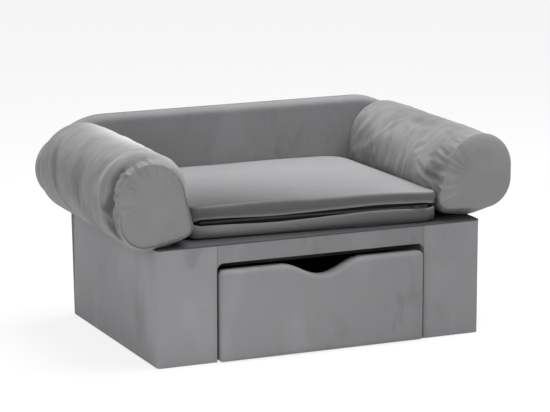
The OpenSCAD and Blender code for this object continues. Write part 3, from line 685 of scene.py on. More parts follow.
# Folds of each roll, each a line of points: the share of the way round from the outer side over the
# top, and the distance behind the seam. Then half its width and its depth, in millimetres; a fold
# with a depth below nothing is a ridge
FOLDS = {
    "left": [
        (((0.23, 62), (0.18, 92), (0.13, 90), (0.06, 104), (0.99, 106), (0.93, 84)), 8, 1.8),
        (((0.20, 42), (0.15, 56), (0.09, 70), (0.03, 76), (0.98, 76), (0.94, 64)), 13, -4.6),
        (((0.22, 16), (0.17, 24), (0.12, 27), (0.06, 32), (0.01, 30), (0.95, 36), (0.90, 34)),
         10, 6.5),
        (((0.96, 62), (0.98, 34), (0.995, 4)), 6, 5),
        (((0.93, 66), (0.90, 40), (0.86, 26)), 9, 4.5),
        (((0.10, 34), (0.115, 4)), 3.5, 2.6),
        (((0.07, 30), (0.09, 3)), 3.5, 2.8),
        (((0.15, 30), (0.14, 3)), 4, 2.6),
        (((0.19, 24), (0.20, 2)), 4, 2.2),
        (((0.83, 190), (0.88, 172), (0.94, 160), (0.98, 150)), 7, 2.6),
        (((0.82, 150), (0.87, 138), (0.92, 132), (0.96, 128), (0.02, 130)), 7, 2.6),
        (((0.83, 168), (0.88, 154), (0.93, 146)), 7, -3.4),
        (((0.08, 205), (0.03, 192), (0.98, 192), (0.92, 180)), 14, 2.4),
        (((0.12, 310), (0.05, 270), (0.98, 252), (0.92, 226)), 12, -1.2),
        (((0.13, 340), (0.07, 315), (0.03, 302), (0.98, 294), (0.93, 284), (0.89, 262)), 7, 2.6),
        (((0.10, 362), (0.03, 334), (0.97, 320), (0.91, 306)), 7, 0.7),
        (((0.09, 372), (0.02, 356), (0.96, 342), (0.90, 328)), 7, 1.0),
        (((0.20, 341), (0.13, 326)), 8, 1.6),
        (((0.21, 264), (0.15, 257), (0.09, 254)), 12, 1.6),
        (((0.19, 162), (0.23, 176)), 5, 1.8),
        (((0.35, 120), (0.42, 150)), 12, 2.0),
        (((0.33, 240), (0.41, 290)), 12, 2.0),
        (((0.37, 330), (0.47, 372)), 10, 2.0),
        (((0.40, 30), (0.46, 70)), 7, 2.4),
    ],
    "right": [
        (((0.25, 345), (0.30, 334), (0.34, 328), (0.38, 338), (0.43, 352)), 11, 2.8),
        (((0.27, 318), (0.33, 300), (0.39, 312)), 14, -1.2),
        (((0.30, 290), (0.38, 296), (0.43, 332), (0.47, 352)), 7, 1.3),
        (((0.34, 262), (0.40, 280), (0.44, 318), (0.48, 350)), 8, 1.7),
        (((0.31, 232), (0.36, 250), (0.41, 272), (0.46, 312)), 7, 1.2),
        (((0.32, 205), (0.37, 228), (0.41, 250)), 7, 1.2),
        (((0.43, 278), (0.47, 276), (0.51, 272)), 6, 2.6),
        (((0.46, 262), (0.50, 262)), 5, -2.0),
        (((0.44, 148), (0.47, 150), (0.51, 154)), 7, -2.0),
        (((0.43, 138), (0.47, 138), (0.51, 142)), 7, 2.0),
        (((0.42, 205), (0.46, 210), (0.50, 215)), 10, 1.8),
        (((0.26, 250), (0.27, 180), (0.25, 110)), 8, -1.4),
        (((0.30, 190), (0.30, 140), (0.28, 96)), 8, 1.8),
        (((0.24, 60), (0.27, 34), (0.29, 10)), 11, 3.4),
        (((0.40, 104), (0.37, 80)), 6, 1.8),
        (((0.44, 76), (0.47, 46), (0.485, 18)), 5, 3.0),
        (((0.43, 34), (0.455, 4)), 5, 2.8),
        (((0.36, 30), (0.385, 3)), 4, 2.6),
        (((0.39, 34), (0.41, 4)), 4, 2.4),
        (((0.47, 20), (0.50, 2)), 4, 3.2),
        (((0.49, 60), (0.506, 38), (0.55, 29), (0.60, 3)), 4.5, 4.4),
        (((0.12, 60), (0.08, 110), (0.02, 130)), 12, 2.6),
        (((0.10, 200), (0.04, 230), (0.97, 240)), 12, 2.2),
        (((0.12, 320), (0.03, 330), (0.95, 322)), 8, 2.4),
        (((0.94, 60), (0.99, 30), (0.03, 6)), 7, 3.2),
        (((0.14, 40), (0.13, 6)), 5, 2.4),
    ],
}

# The share by which a roll's colour is darkened everywhere, and the most that it is darkened anywhere under its
# painted shade
ROLL_DARKENED, MOST_DARKENED = 0.635, 0.84

# Painted shade and painted highlights on each roll: lines as above, half their width in
# millimetres, and the share by which the colour is darkened there on top, as painted shade; below
# nothing, the colour is lighter there, a painted highlight
ROLL_PAINTED_LIGHT = {
    "left": [
        (((0.18, 24), (0.13, 26), (0.10, 34), (0.05, 33), (0.02, 27), (0.965, 40), (0.92, 32),
          (0.86, 30)), 12, 0.22),
        (((0.96, 66), (0.975, 28)), 9, 0.16),
        (((0.96, 40), (0.88, 46), (0.83, 40)), 24, 0.20),
        (((0.30, 40), (0.31, 200), (0.31, 370)), 40, -0.56),
        (((0.215, 62), (0.19, 82), (0.14, 84), (0.09, 95), (0.05, 100), (0.01, 105), (0.97, 100),
          (0.94, 85)), 10, -0.11),
        (((0.085, 202), (0.03, 191), (0.98, 193), (0.93, 178)), 24, 0.11),
        (((0.10, 339), (0.04, 300), (0.99, 295), (0.91, 271)), 13, 0.12),
    ],
    "right": [
        (((0.50, 350), (0.51, 250), (0.535, 160), (0.535, 50)), 17, 0.09),
        (((0.38, 330), (0.39, 200), (0.40, 60)), 26, -0.10),
        (((0.25, 350), (0.25, 200), (0.25, 30)), 26, 0.075),
        (((0.44, 40), (0.48, 16)), 11, 0.16),
        (((0.30, 12), (0.28, 50)), 9, 0.11),
    ],
}

# How each cap meets its roll: how far the seam lies behind the front, how wide the cap's edge is
# rounded, how much its middle stands out and how high its welt is, in millimetres; the share by
# which its colour is darkened; the share of the usual groove along its seam; then the shares of the
# way round between which the welt and the gathers show most, and where the noise is read
CAPS = {
    "left": {
        "back": 4, "round": 7, "dome": 3.0, "welt": 2.8, "brushed": 0.635, "groove": 1.0,
        "welted": (0.36, 0.90), "gathered": (0.92, 0.30), "seed": 3.1,
    },
    "right": {
        "back": 12, "round": 34, "dome": 3.6, "welt": 0.2, "brushed": 0.645, "groove": 0.3,
        "welted": (0.40, 0.72), "gathered": (0.33, 0.62), "seed": 7.7,
    },
}

# Radius of the ring on which the noise round a roll is read
NOISE_RING = 0.08


def belt(circles, inset, columns):
    """Even points round the tight outline of some circles, from its outermost point up and over."""
    turn = np.linspace(0, 2 * math.pi, 721)[:-1]
    way = np.stack([np.cos(turn), np.sin(turn)], 1)
    reach = circles[:, :2] @ way.T + circles[:, 2:3]
    chosen = circles[reach.argmax(0)]
    line = chosen[:, :2] + (chosen[:, 2:3] - inset) * way
    return resampled(line, columns, closed=True)


def seam_place(side):
    """Where the seam between a roll and its cap lies along the depth."""
    return FRONT_Y + CAPS[side]["back"] / 1000


def roll_circles(side, y):
    """Circles that bound a roll at a place along the depth."""
    r = settings().roll
    seam = seam_place(side)
    cap, front, rear = (np.array(SECTIONS[side][key]) / 1000 for key in ("cap", "front", "rear"))
    grown = min(1, max(0, (y - seam) / r.gather))
    run = min(1, max(0, (y - seam - r.gather) / (BACK_FRONT - seam - r.gather)))
    at_back = np.interp(y, (BACK_FRONT - 0.03, BACK_FRONT), (1, r.rear_full))
    full = min(1 - (1 - grown) ** 2.2, at_back)
    return between(cap, between(front, rear, run), full)


def off_base(points):
    """Points of a roll, pushed out of the base's block, and which of them touch it."""
    out = np.array(points)
    deep_x = BASE_X + SKIN_GAP - out[..., 0]
    deep_z = BASE_TOP + SKIN_GAP - out[..., 2]
    inside = (deep_x > 0) & (deep_z > 0)
    upward = inside & (deep_z < deep_x)
    out[upward, 2] = BASE_TOP + SKIN_GAP
    out[inside & ~upward, 0] = BASE_X + SKIN_GAP
    return out, inside


def within(share, span, soft=0.05):
    """1 for shares of the way round inside a span that may pass the start, soft at its ends."""
    first, last = span
    length_round = (last - first) % 1
    ahead = (share - first + soft) % 1
    return np.clip(np.minimum(ahead, length_round + 2 * soft - ahead) / (2 * soft), 0, 1)


def beside_line(line, width, share, along, girth):
    """How many widths each point of a roll lies from a line on it, and how strong it is there."""
    shape = np.broadcast(share, along).shape
    xs = [line[0][0]]
    for at, _ in line[1:]:
        xs.append(xs[-1] + (at - xs[-1] + 0.5) % 1 - 0.5)
    spots = [(x, y / 1000) for x, (_, y) in zip(xs, line)]
    parts = list(zip(spots, spots[1:]))
    runs = np.cumsum([0] + [math.hypot((b[0] - a[0]) * girth, b[1] - a[1]) for a, b in parts])
    best = np.full(shape, np.inf)
    travelled = np.zeros(shape)
    for k, (a, b) in enumerate(parts):
        ax = ((share - a[0] + 0.5) % 1 - 0.5) * girth
        ay = along - a[1]
        span = np.array([(b[0] - a[0]) * girth, b[1] - a[1]])
        size = math.sqrt(span @ span)
        part = np.clip((ax * span[0] + ay * span[1]) / size**2, 0, 1)
        away = np.hypot(ax - part * span[0], ay - part * span[1])
        nearer = away < best
        best = np.where(nearer, away, best)
        travelled = np.where(nearer, runs[k] + part * size, travelled)
    taper = np.sin(math.pi * (0.10 + 0.80 * travelled / runs[-1])) ** 0.8
    return best / (width / 1000 * (0.55 + 0.45 * taper)), taper


def fold_height(folds, share, along, girth):
    """Height of all folds at each point of a roll: each a groove with soft shoulders."""
    total = np.zeros(np.broadcast(share, along).shape)
    for line, width, depth in folds:
        away, taper = beside_line(line, width, share, along, girth)
        groove = np.exp(-away**2) - 0.30 * np.exp(-((away - 1.9) / 0.9) ** 2)
        total -= depth / 1000 * taper * groove
    return total


def painted_light_of_roll(marks, share, along, girth, streaks):
    """Share by which a roll's colour is darkened at each point: painted shade and painted highlights over streaks
    in the pile.
    """
    total = ROLL_DARKENED + streaks
    for line, width, dark in marks:
        away, taper = beside_line(line, width, share, along, girth)
        total += dark * taper * np.exp(-away**2)
    return np.clip(total, 0, MOST_DARKENED)


def roll_start(side):
    """Rings of one roll from its seam to the back board, before it is filled."""
    r, shape = settings().roll, CAPS[side]
    seam = seam_place(side)
    rows = int((BACK_FRONT - seam) / r.row) + 1
    part = np.linspace(0, 1, rows)
    part = part - 0.10 * np.sin(2 * math.pi * part) / (2 * math.pi)
    places = seam + (BACK_FRONT - SKIN_GAP - seam) * part
    rings, cut = [], []
    for y in places:
        inset = r.seam_in * shape["groove"] if y == seam else r.slim
        flat = belt(roll_circles(side, y), inset, r.columns)
        rings.append(np.stack([flat[:, 0], np.full(r.columns, y), flat[:, 1]], 1))
        uncut = belt(roll_circles(side, max(y, seam + r.gather)), 0, r.columns)
        cut.append(np.stack([uncut[:, 0], np.full(r.columns, y), uncut[:, 1]], 1))
    return np.array(rings), np.array(cut), places - seam


def gathers(share, along, side, spot):
    """Height of the puckers that fan out behind the seam."""
    r, seed = settings().roll, CAPS[side]["seed"]
    warp = soft_noise(spot[:1] * (1, 0, 1), 0.035, seed)
    turn = share * 2 * math.pi
    ripple = 1 - 1.7 * np.abs(np.sin(turn * 9 + 2.4 * warp)) ** 0.7
    ripple = ripple + 0.7 - 1.2 * np.abs(np.sin(turn * 15.5 + 4 * warp + 1)) ** 0.8
    strength = 0.25 + 0.75 * within(share, CAPS[side]["gathered"])
    reach = 0.013 + 0.010 * soft_noise(spot[:1] * (1, 0, 1), 0.03, seed + 4)
    fade = np.clip(along / 0.003, 0, 1) * np.exp(-((along / reach) ** 1.4))
    return r.pucker * ripple * strength * fade


def cap_rings(side, spot, share):
    """Rings of a roll's cap: from its rounded edge, past a welt and stitches, over a low dome."""
    shape, columns = CAPS[side], settings().roll.columns
    flat = np.array(SECTIONS[side]["cap"]) / 1000
    welt = shape["welt"] / 1000 * (0.15 + 0.85 * within(share[0], shape["welted"], 0.08))
    back, edge, dome = (shape[key] / 1000 for key in ("back", "round", "dome"))

    def ring(inset, behind):
        line = belt(flat, inset, columns)
        return np.stack([line[:, 0], FRONT_Y + np.broadcast_to(behind, (columns,)), line[:, 1]], 1)

    def face(inset):
        part = np.clip(1 - inset / edge, 0, 1)
        return (back - 0.001) * (1 - np.sqrt(1 - part**2))

    cap = [
        ring(0.0016, back - 0.0006), ring(0.0002, back - 0.0016 - welt * 0.4),
        ring(0.0006, face(0.0006) * 0.9 - welt * 0.9), ring(0.0018, face(0.0018) - welt),
        ring(0.0032, face(0.0032) - welt * 0.7), ring(0.0044, face(0.0044) + welt * 0.25),
        *(ring(inset, face(inset)) for inset in (0.0060, 0.0085, 0.0120, 0.0165)),
    ]
    outline = belt(flat, 0.0195, columns)
    middle = outline.mean(0)
    for part in np.linspace(0, 1, 14)[1:-1]:
        line = middle + (outline - middle) * (1 - part)
        y = np.full(columns, FRONT_Y - dome * (1 - (1 - part) ** 2))
        cap.append(np.stack([line[:, 0], y, line[:, 1]], 1))
    cap = np.array(cap)
    number = np.arange(len(cap))[:, None]
    around = within(share[0], shape["gathered"], 0.06)[None, :]
    seed = shape["seed"]
    warp = 3 * soft_noise(spot[:1] * (1, 0, 1), 0.03, seed + 6)
    radial = np.abs(np.sin(share * 2 * math.pi * 13 + warp))
    creases = np.exp(-((number - 6) / 4.5) ** 2) * around * radial**3
    lumps = soft_noise(cap, 0.05, seed + 1) * 0.0014 + soft_noise(cap, 0.02, seed + 1) * 0.0004
    cap[..., 1] += lumps * np.clip(number / 6, 0, 1) + creases * 0.0024
    return off_base(cap)[0]


def make_roll(side):
    """One stuffed arm roll with its cap."""
    r, shape = settings().roll, CAPS[side]
    start, cut, along = roll_start(side)
    rows, columns = start.shape[:2]
    start, touching = off_base(start)
    sewn = touching.copy()
    sewn[0] = sewn[-1] = True
    share = np.linspace(0, 1, columns + 1)[None, :-1]
    along = along[:, None]
    turn = share * 2 * math.pi
    spot = np.broadcast_arrays(np.cos(turn) * NOISE_RING, along, np.sin(turn) * NOISE_RING)
    spot = np.stack(spot, -1)
    first = gathers(share, along, side, spot)
    begun, _ = off_base(start + normals_of(start) * (first * 0.5)[..., None])
    begun[0] = start[0]
    tube = settled(
        begun, tube_faces(rows, columns), sewn.ravel(), r.pressure,
        frames=20, limit=7 * MM, bend=0.9, cut=cut,
    )
    tube = tube.reshape(rows, columns, 3)
    seed = shape["seed"]
    girth = np.linalg.norm(np.roll(tube, -1, 1) - tube, axis=-1).sum(1).max()
    height = fold_height(FOLDS[side], share, along, girth) * r.folds + first * 0.8
    filling, creases = 0.0022, 0.0009
    height = height + filling * soft_noise(spot, 0.075, seed + 9)
    height = height + creases * soft_noise(spot, (0.05, 0.018, 0.05), seed + 5)
    seam_end, back_end = 0.003, 0.012
    ends = np.clip(along / seam_end, 0, 1) * np.clip((along.max() - along) / back_end, 0, 1)
    tube, _ = off_base(tube + normals_of(tube) * (height * ends)[..., None])
    cap = cap_rings(side, spot, share)
    rear = tube[-1]
    rear_middle = rear.mean(0)
    inner_rear = [rear_middle + (rear - rear_middle) * s for s in (0.97, 0.6, 0.2)]
    rings = [*cap[::-1], *tube, *inner_rear]
    points = np.vstack([*rings, [cap[-1].mean(0)], [rear_middle]])
    count = len(rings) * columns
    faces = tube_faces(len(rings), columns)
    for k in range(columns):
        j = (k + 1) % columns
        faces.append([j, k, count])
        faces.append([count - columns + k, count - columns + j, count + 1])
    if side == "left":
        points = points * (-1, 1, 1)
    # The cap is darkened by its share, with painted shade in the groove beside its welt; along the tube, painted
    # shade and painted highlights lie over streaks in the pile
    brushed = np.full((len(rings), columns), shape["brushed"])
    beside_welt = slice(len(cap) - 5, len(cap) - 3)
    brushed[beside_welt] += 0.065 * shape["welt"] * within(share[0], shape["welted"], 0.08)
    streaks = soft_noise(spot, (0.060, 0.016, 0.060), seed + 21) * 0.045
    streaks = streaks + soft_noise(spot, (0.030, 0.009, 0.030), seed + 27) * 0.030
    on_tube = slice(len(cap), len(cap) + rows)
    brushed[on_tube] = painted_light_of_roll(ROLL_PAINTED_LIGHT[side], share, along, girth, streaks)
    brushed = np.concatenate([brushed.ravel(), [shape["brushed"]] * 2])
    made = piece(
        f"{side}_arm_roll", points, faces, pile("roll_plush"), "base", "plush_light", brushed
    )
    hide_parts(f"{side}_arm_cover", f"{side}_arm_fill")
    subdivide(made)


# Seat cushion


def cushion_corners():
    c = settings().cushion
    return [
        (-c.half, c.front, c.front_r),
        (c.half, c.front - c.skew, c.front_r),
        (c.rear_half, c.rear, c.rear_r),
        (-c.rear_half, c.rear, c.rear_r),
    ]


def cushion_sides(across, deep):
    """The cushion's plan as four lines that meet at the middle of its rounded corners."""
    corners = cushion_corners()
    arcs = []
    for k, (x, y, radius) in enumerate(corners):
        here = np.array([x, y])
        before, after = (np.array(corners[(k + s) % 4][:2]) for s in (-1, 1))
        come = (here - before) / np.linalg.norm(here - before)
        leave = (after - here) / np.linalg.norm(after - here)
        n0, n1 = np.array([come[1], -come[0]]), np.array([leave[1], -leave[0]])
        middle = here - radius * (n0 + n1) / (1 + n0 @ n1)
        a0, a1 = math.atan2(n0[1], n0[0]), math.atan2(n1[1], n1[0])
        a1 += 2 * math.pi if a1 < a0 else 0
        turn = np.linspace(a0, a1, 17)
        arcs.append(middle + radius * np.stack([np.cos(turn), np.sin(turn)], 1))
    sides = []
    for k, count in enumerate((across, deep, across, deep)):
        line = np.vstack([arcs[k][8:], arcs[(k + 1) % 4][:9]])
        sides.append(resampled(line, count + 1))
    return sides


def patch(sides):
    """Even grid inside four lines, each row from the left line to the right one."""
    front, right, rear, left = sides[0], sides[1], sides[2][::-1], sides[3][::-1]
    u = np.linspace(0, 1, len(front))[None, :, None]
    v = np.linspace(0, 1, len(right))[:, None, None]
    along = front[None] * (1 - v) + rear[None] * v
    across = left[:, None] * (1 - u) + right[:, None] * u
    corners = (
        front[0] * (1 - u) * (1 - v) + front[-1] * u * (1 - v)
        + rear[0] * (1 - u) * v + rear[-1] * u * v
    )
    return along + across - corners


def zip_part(x):
    return np.clip((x - TAPE_LOW.x) / (TAPE_HIGH.x - TAPE_LOW.x), 0, 1)


def zip_bow(x):
    """How far the zip's band lies above its straight line, along the front."""
    c, part = settings().cushion, zip_part(x)
    up, down = np.exp(-((part - 0.78) / 0.17) ** 2), np.exp(-((part - 0.32) / 0.16) ** 2)
    return c.bow * (up - 0.8 * down)


def zip_gap(x):
    """Height of the dark band between the lips: pointed at its left end, narrow at its right."""
    c, part = settings().cushion, zip_part(x)
    pointed_over, slider_end, narrowed_over = 0.018, 0.208, 0.014
    width = c.band * (1 - 0.14 * np.clip((part - 0.45) / 0.25, 0, 1))
    opened = np.clip((x - TAPE_LOW.x + c.past) / pointed_over, 0, 1)
    narrowed = np.clip((x - slider_end) / narrowed_over, 0, 1)
    return width * opened**0.5 * (1 - 0.34 * narrowed)


def seam_drop(x):
    """Share of its height that the cushion keeps towards its ends."""
    c = settings().cushion
    return 1 - c.end_drop * np.abs(x / c.half) ** 4


def front_rise(x):
    """How much higher the front edge is, right of its middle and at its left end."""
    left = np.clip((0.04 - x) / 0.14, 0, 1)
    right = np.exp(-((x - 0.09) / 0.12) ** 2)
    return settings().cushion.rise * (right + 1.5 * left**2 * (3 - 2 * left))


def make_cushion():
    """The seat cushion: crowned top, firm boxing with the open lips of its zip, flat underside."""
    c = settings().cushion
    across, deep = int(2 * c.half / c.cell), int((c.rear - c.front) / c.cell)
    sides = cushion_sides(across, deep)
    plan = patch(sides)
    border = np.vstack([line[:-1] for line in sides])
    count = len(border)
    low = BASE_TOP + SKIN_GAP
    ahead = np.roll(border, -1, 0) - np.roll(border, 1, 0)
    outward = np.stack([ahead[:, 1], -ahead[:, 0]], 1)
    outward = outward / np.linalg.norm(ahead, axis=1, keepdims=True)

    # the top: height grows quickly behind the seam, then slowly to the crown
    u = np.linspace(-1, 1, across + 1)[None, :]
    v = np.linspace(-1, 1, deep + 1)[:, None]
    swell = ((1 - u**8) * (1 - v**8)) ** 0.5 * (0.66 + 0.34 * (1 - u**2) * (1 - v**2))
    x, y = plan[..., 0], plan[..., 1]
    spot = np.stack([x, y, np.zeros_like(x)], -1)
    lumps = soft_noise(spot, 0.10, 2.3) * 0.0022 + soft_noise(spot, 0.04, 4.1, 3) * 0.0006
    top_z = low + c.height * seam_drop(x) + c.crown * swell + lumps * swell
    top_z = top_z + front_rise(x) * np.clip(0.6 - v, 0, 1.6) / 1.6
    top = np.stack([x, y, top_z], -1)
    # the boxing: rows from the top seam down, each with a height, a distance outward and the
    # share by which its colour is darkened as painted shade, deepest between the zip's lips. The
    # zip's opening closes just behind the right front corner
    t = np.arange(count)
    bx = border[:, 0]
    at_front = t <= across
    closing = np.clip((across + 4 - t) / 3, 0, 1) ** 0.5
    front = np.where(at_front, np.clip((c.half - np.abs(bx)) / 0.03, 0, 1), 0)
    side_bulge = (1 - front) * c.bulge
    opens = (t > 0) & (t < across + 4) & (bx > TAPE_LOW.x - c.past)
    slot = np.where(opens, zip_gap(bx) * closing, 0)
    slot_z = c.zip_up + zip_bow(bx)
    seam_z = c.height * seam_drop(bx) + np.where(at_front, front_rise(bx), 0)
    lift = np.where(at_front, 0.0028 * np.exp(-((bx - 0.10) / 0.10) ** 2), 0)
    lift = lift + np.where(at_front, 0.0085 * np.exp(-((c.half - bx) / 0.017) ** 2), 0)
    # Painted shade on the boxing: deeper on the upper boxing than on the top, towards the right on the lower
    # boxing, and near black between the zip's lips
    rows, boxing_shade = [], []
    to_right = np.clip(0.5 + bx / 0.4, 0, 1)
    upper_shade, lower_shade = 0.54 + 0.08 * to_right, 0.28 + 0.42 * to_right

    def row(z, out, dark=0.36):
        boxing_shade.append(np.broadcast_to(dark, (count,)))
        flat = border + outward * np.broadcast_to(out, (count,))[:, None]
        rows.append(np.stack([flat[:, 0], flat[:, 1], low + np.broadcast_to(z, (count,))], 1))
        return len(rows) - 1

    open_share = np.clip(slot / c.band * 2, 0, 1)
    upper, lower = slot_z + slot / 2, slot_z - slot / 2
    leaning = c.lean * front
    row(seam_z - 0.0010, 0.0012 + 0.0006 * front, 0.48)
    row(seam_z - 0.0030, 0.0014 + leaning * 0.8, upper_shade)
    for part, lean, out in (
        (0.12, 1.0, 0.3), (0.34, 0.62, 0.75), (0.56, 0.1, 1.0), (0.78, -0.5, 0.9)
    ):
        height = between(seam_z - 0.0030, upper + 0.0050, part)
        row(height, 0.0014 + leaning * lean + side_bulge * out, upper_shade)
    row(upper + 0.0050, -c.lean * 0.95 * front + side_bulge * 0.8, 0.52)
    over = row(upper + 0.0028, -c.lean * 0.62 * front + side_bulge * 0.7, 0.30)
    row(upper + 0.0012, -c.lean * 0.42 * front + side_bulge * 0.5, 0.26)
    row(upper + 0.0002, -c.lean * 0.62 * front - 0.0006 * open_share)
    row(upper + 0.0003, -0.0032 * open_share, 0.36 + 0.58 * open_share)
    for way in (1, -1):
        height = slot_z + way * (slot / 2 + 0.0018) * open_share
        row(height, -0.0066 * open_share, 0.36 + 0.6 * open_share)
    row(lower - 0.0003, -0.0032 * open_share, 0.36 + 0.58 * open_share)
    row(lower - 0.0002, -0.0008 * open_share + side_bulge * 0.3, 0.22)
    row(lower - 0.0012, -0.0004 * front + side_bulge * 0.3, 0.22)
    under_lip = row(lower - 0.0030, 0.0002 * front + side_bulge * 0.5, 0.20 + 0.40 * to_right)
    for part, out in ((0.25, 1.0), (0.5, 1.15), (0.72, 0.75), (0.88, 0.1)):
        height = between(lower - 0.0030, lift + 0.001, part)
        row(height, c.bulge * out * (0.6 + 0.4 * front), lower_shade)
    row(lift + 0.0014, -0.0020)
    row(lift * 0.7 + 0.0003, -0.0050)
    boxing = np.array(rows)
    ripple = soft_noise(boxing * (1, 1, 1.6), 0.03, 6.4) * 0.0008
    boxing[..., :2] += outward[None] * ripple[..., None]
    # the underside
    shrink, middle = 1 - 0.007 / c.half, (c.front - c.skew / 2 + c.rear) / 2
    under = np.stack([x * shrink, middle + (y - middle) * shrink, np.full_like(x, low)], -1)
    ring_of = np.concatenate([
        np.arange(across), np.arange(deep) * (across + 1) + across,
        (deep + 1) * (across + 1) - 1 - np.arange(across), (deep - np.arange(deep)) * (across + 1),
    ])
    cells = (across + 1) * (deep + 1)
    points = np.vstack([top.reshape(-1, 3), boxing.reshape(-1, 3), under.reshape(-1, 3)])
    faces = grid_faces(deep + 1, across + 1)
    faces += tube_faces(len(rows), count, cells)
    first_under = cells + len(rows) * count
    faces += [face[::-1] for face in grid_faces(deep + 1, across + 1, first_under)]
    last = first_under - count
    for k in range(count):
        j = (k + 1) % count
        here, there = int(ring_of[k]), int(ring_of[j])
        faces.append([here, there, cells + j, cells + k])
        faces.append([last + k, last + j, first_under + there, first_under + here])
    sewn = np.zeros(len(points), bool)
    sewn[ring_of] = True
    sewn[cells:] = True
    points = settled(points, faces, sewn, c.pressure, frames=14, limit=5 * MM, bend=1.5)
    # A painted shadow over the seat's front left; the boxing's rows carry their painted shade
    shadow_front_left = np.clip(0.62 - x / 0.42, 0.2, 1) * np.clip(0.3 - 0.7 * v, 0, 1) * 0.64
    brushed = [(shadow_front_left + 0.05).ravel(), np.array(boxing_shade).ravel(), np.full(cells, 0.3)]
    kept = pile("seat_plush"), "seat_cushion", "plush_light"
    made = piece("seat_cushion", points, faces, *kept, np.concatenate(brushed))
    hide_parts("cushion_cover", "cushion_foam")
    sewn_part = slice(5, across - 4)
    off_cloth = np.column_stack([outward[sewn_part] * 0.0001, np.zeros(across - 9)])
    lines = [boxing[number][sewn_part] + off_cloth for number in (over, under_lip)]
    repeated("zip_stitches", lines, stitch(), settings().zip.stitch_pitch, *kept)


def zip_line(box_low, box_high, shorter=0.0):
    """The straight line on which a part of the zip lies, along the way that its slider runs."""
    joint = next(j for j in frame["joints"] if j["name"] == "zip_slide")
    way = np.array(joint["axis"]) * -1
    middle = np.array((box_low + box_high) / 2)
    half = (box_high.x - box_low.x) / 2 / way[0] - shorter
    return middle - way * half, middle + way * half


def make_zip():
    """The zip's bowed tape, and two rows of teeth on it."""
    z = settings().zip
    first, last = zip_line(TAPE_LOW, TAPE_HIGH)
    part = np.linspace(0, 1, 130)[:, None]
    line = first + (last - first) * part
    line[:, 2] += zip_bow(line[:, 0])
    way = (last - first) / np.linalg.norm(last - first)
    inward = np.array([-way[1], way[0], 0])
    reach = settings().cushion.band / 2 + 0.0012
    profile = [
        (-reach, 0.0003), (-reach * 0.7, 0.0), (-0.0026, 0.0002), (-0.0022, -0.0003),
        (0.0022, -0.0003), (0.0026, 0.0002), (reach * 0.7, 0.0), (reach, 0.0003),
    ]
    profile += [(up, deep + 0.0011) for up, deep in reversed(profile)]
    ends = np.clip(np.minimum(part[:, 0], 1 - part[:, 0]) / 0.02, 0.25, 1)
    rings = np.array([
        [spot + inward * (deep + 0.0008) + np.array([0, 0, up * size]) for up, deep in profile]
        for spot, size in zip(line, ends)
    ])
    rows, columns = rings.shape[:2]
    faces = tube_faces(rows, columns)
    faces += [list(range(columns)), [(rows - 1) * columns + k for k in reversed(range(columns))]]
    looks = bpy.data.materials
    made = piece(
        "zip_band", rings, faces, looks["zip_black_finish"], "seat_cushion", "zip_black"
    )
    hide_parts("zip_tape")
    first, last = zip_line(COIL_LOW, COIL_HIGH, z.pitch)
    step = (last - first) / np.linalg.norm(last - first) * z.pitch / 2
    rise = np.array([0, 0, z.tooth * 0.22])
    lines = [[first + rise, last + rise], [first + step - rise, last + step - rise]]
    work = bmesh.new()
    bmesh.ops.create_cube(work, size=1)
    for vert in work.verts:
        vert.co.x *= 2 * z.wire
        vert.co.y *= (COIL_HIGH.z - COIL_LOW.z) * 0.25
        vert.co.z *= z.tooth
    bmesh.ops.bevel(
        work, geom=work.edges[:], offset=z.wire * 0.55, segments=2, profile=0.5, affect="EDGES"
    )
    tooth = bpy.data.meshes.new("tooth")
    work.to_mesh(tooth)
    work.free()
    made = repeated(
        "zip_teeth", lines, tooth, z.pitch, looks["zip_coil_finish"], "seat_cushion", "zip_coil"
    )
    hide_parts("zip_coil")


# Covers over boards


def edge_steps(radius, count=5):
    """Distances from an edge at which its rounding is sampled."""
    return [radius * (1 - math.cos(math.pi / 2 * k / count)) for k in range(count + 1)]


def rounding(away, radius):
    """Depth of a rounded edge at a distance from it."""
    inward = radius - np.minimum(away, radius)
    return radius - np.sqrt(np.maximum(radius**2 - inward**2, 0))


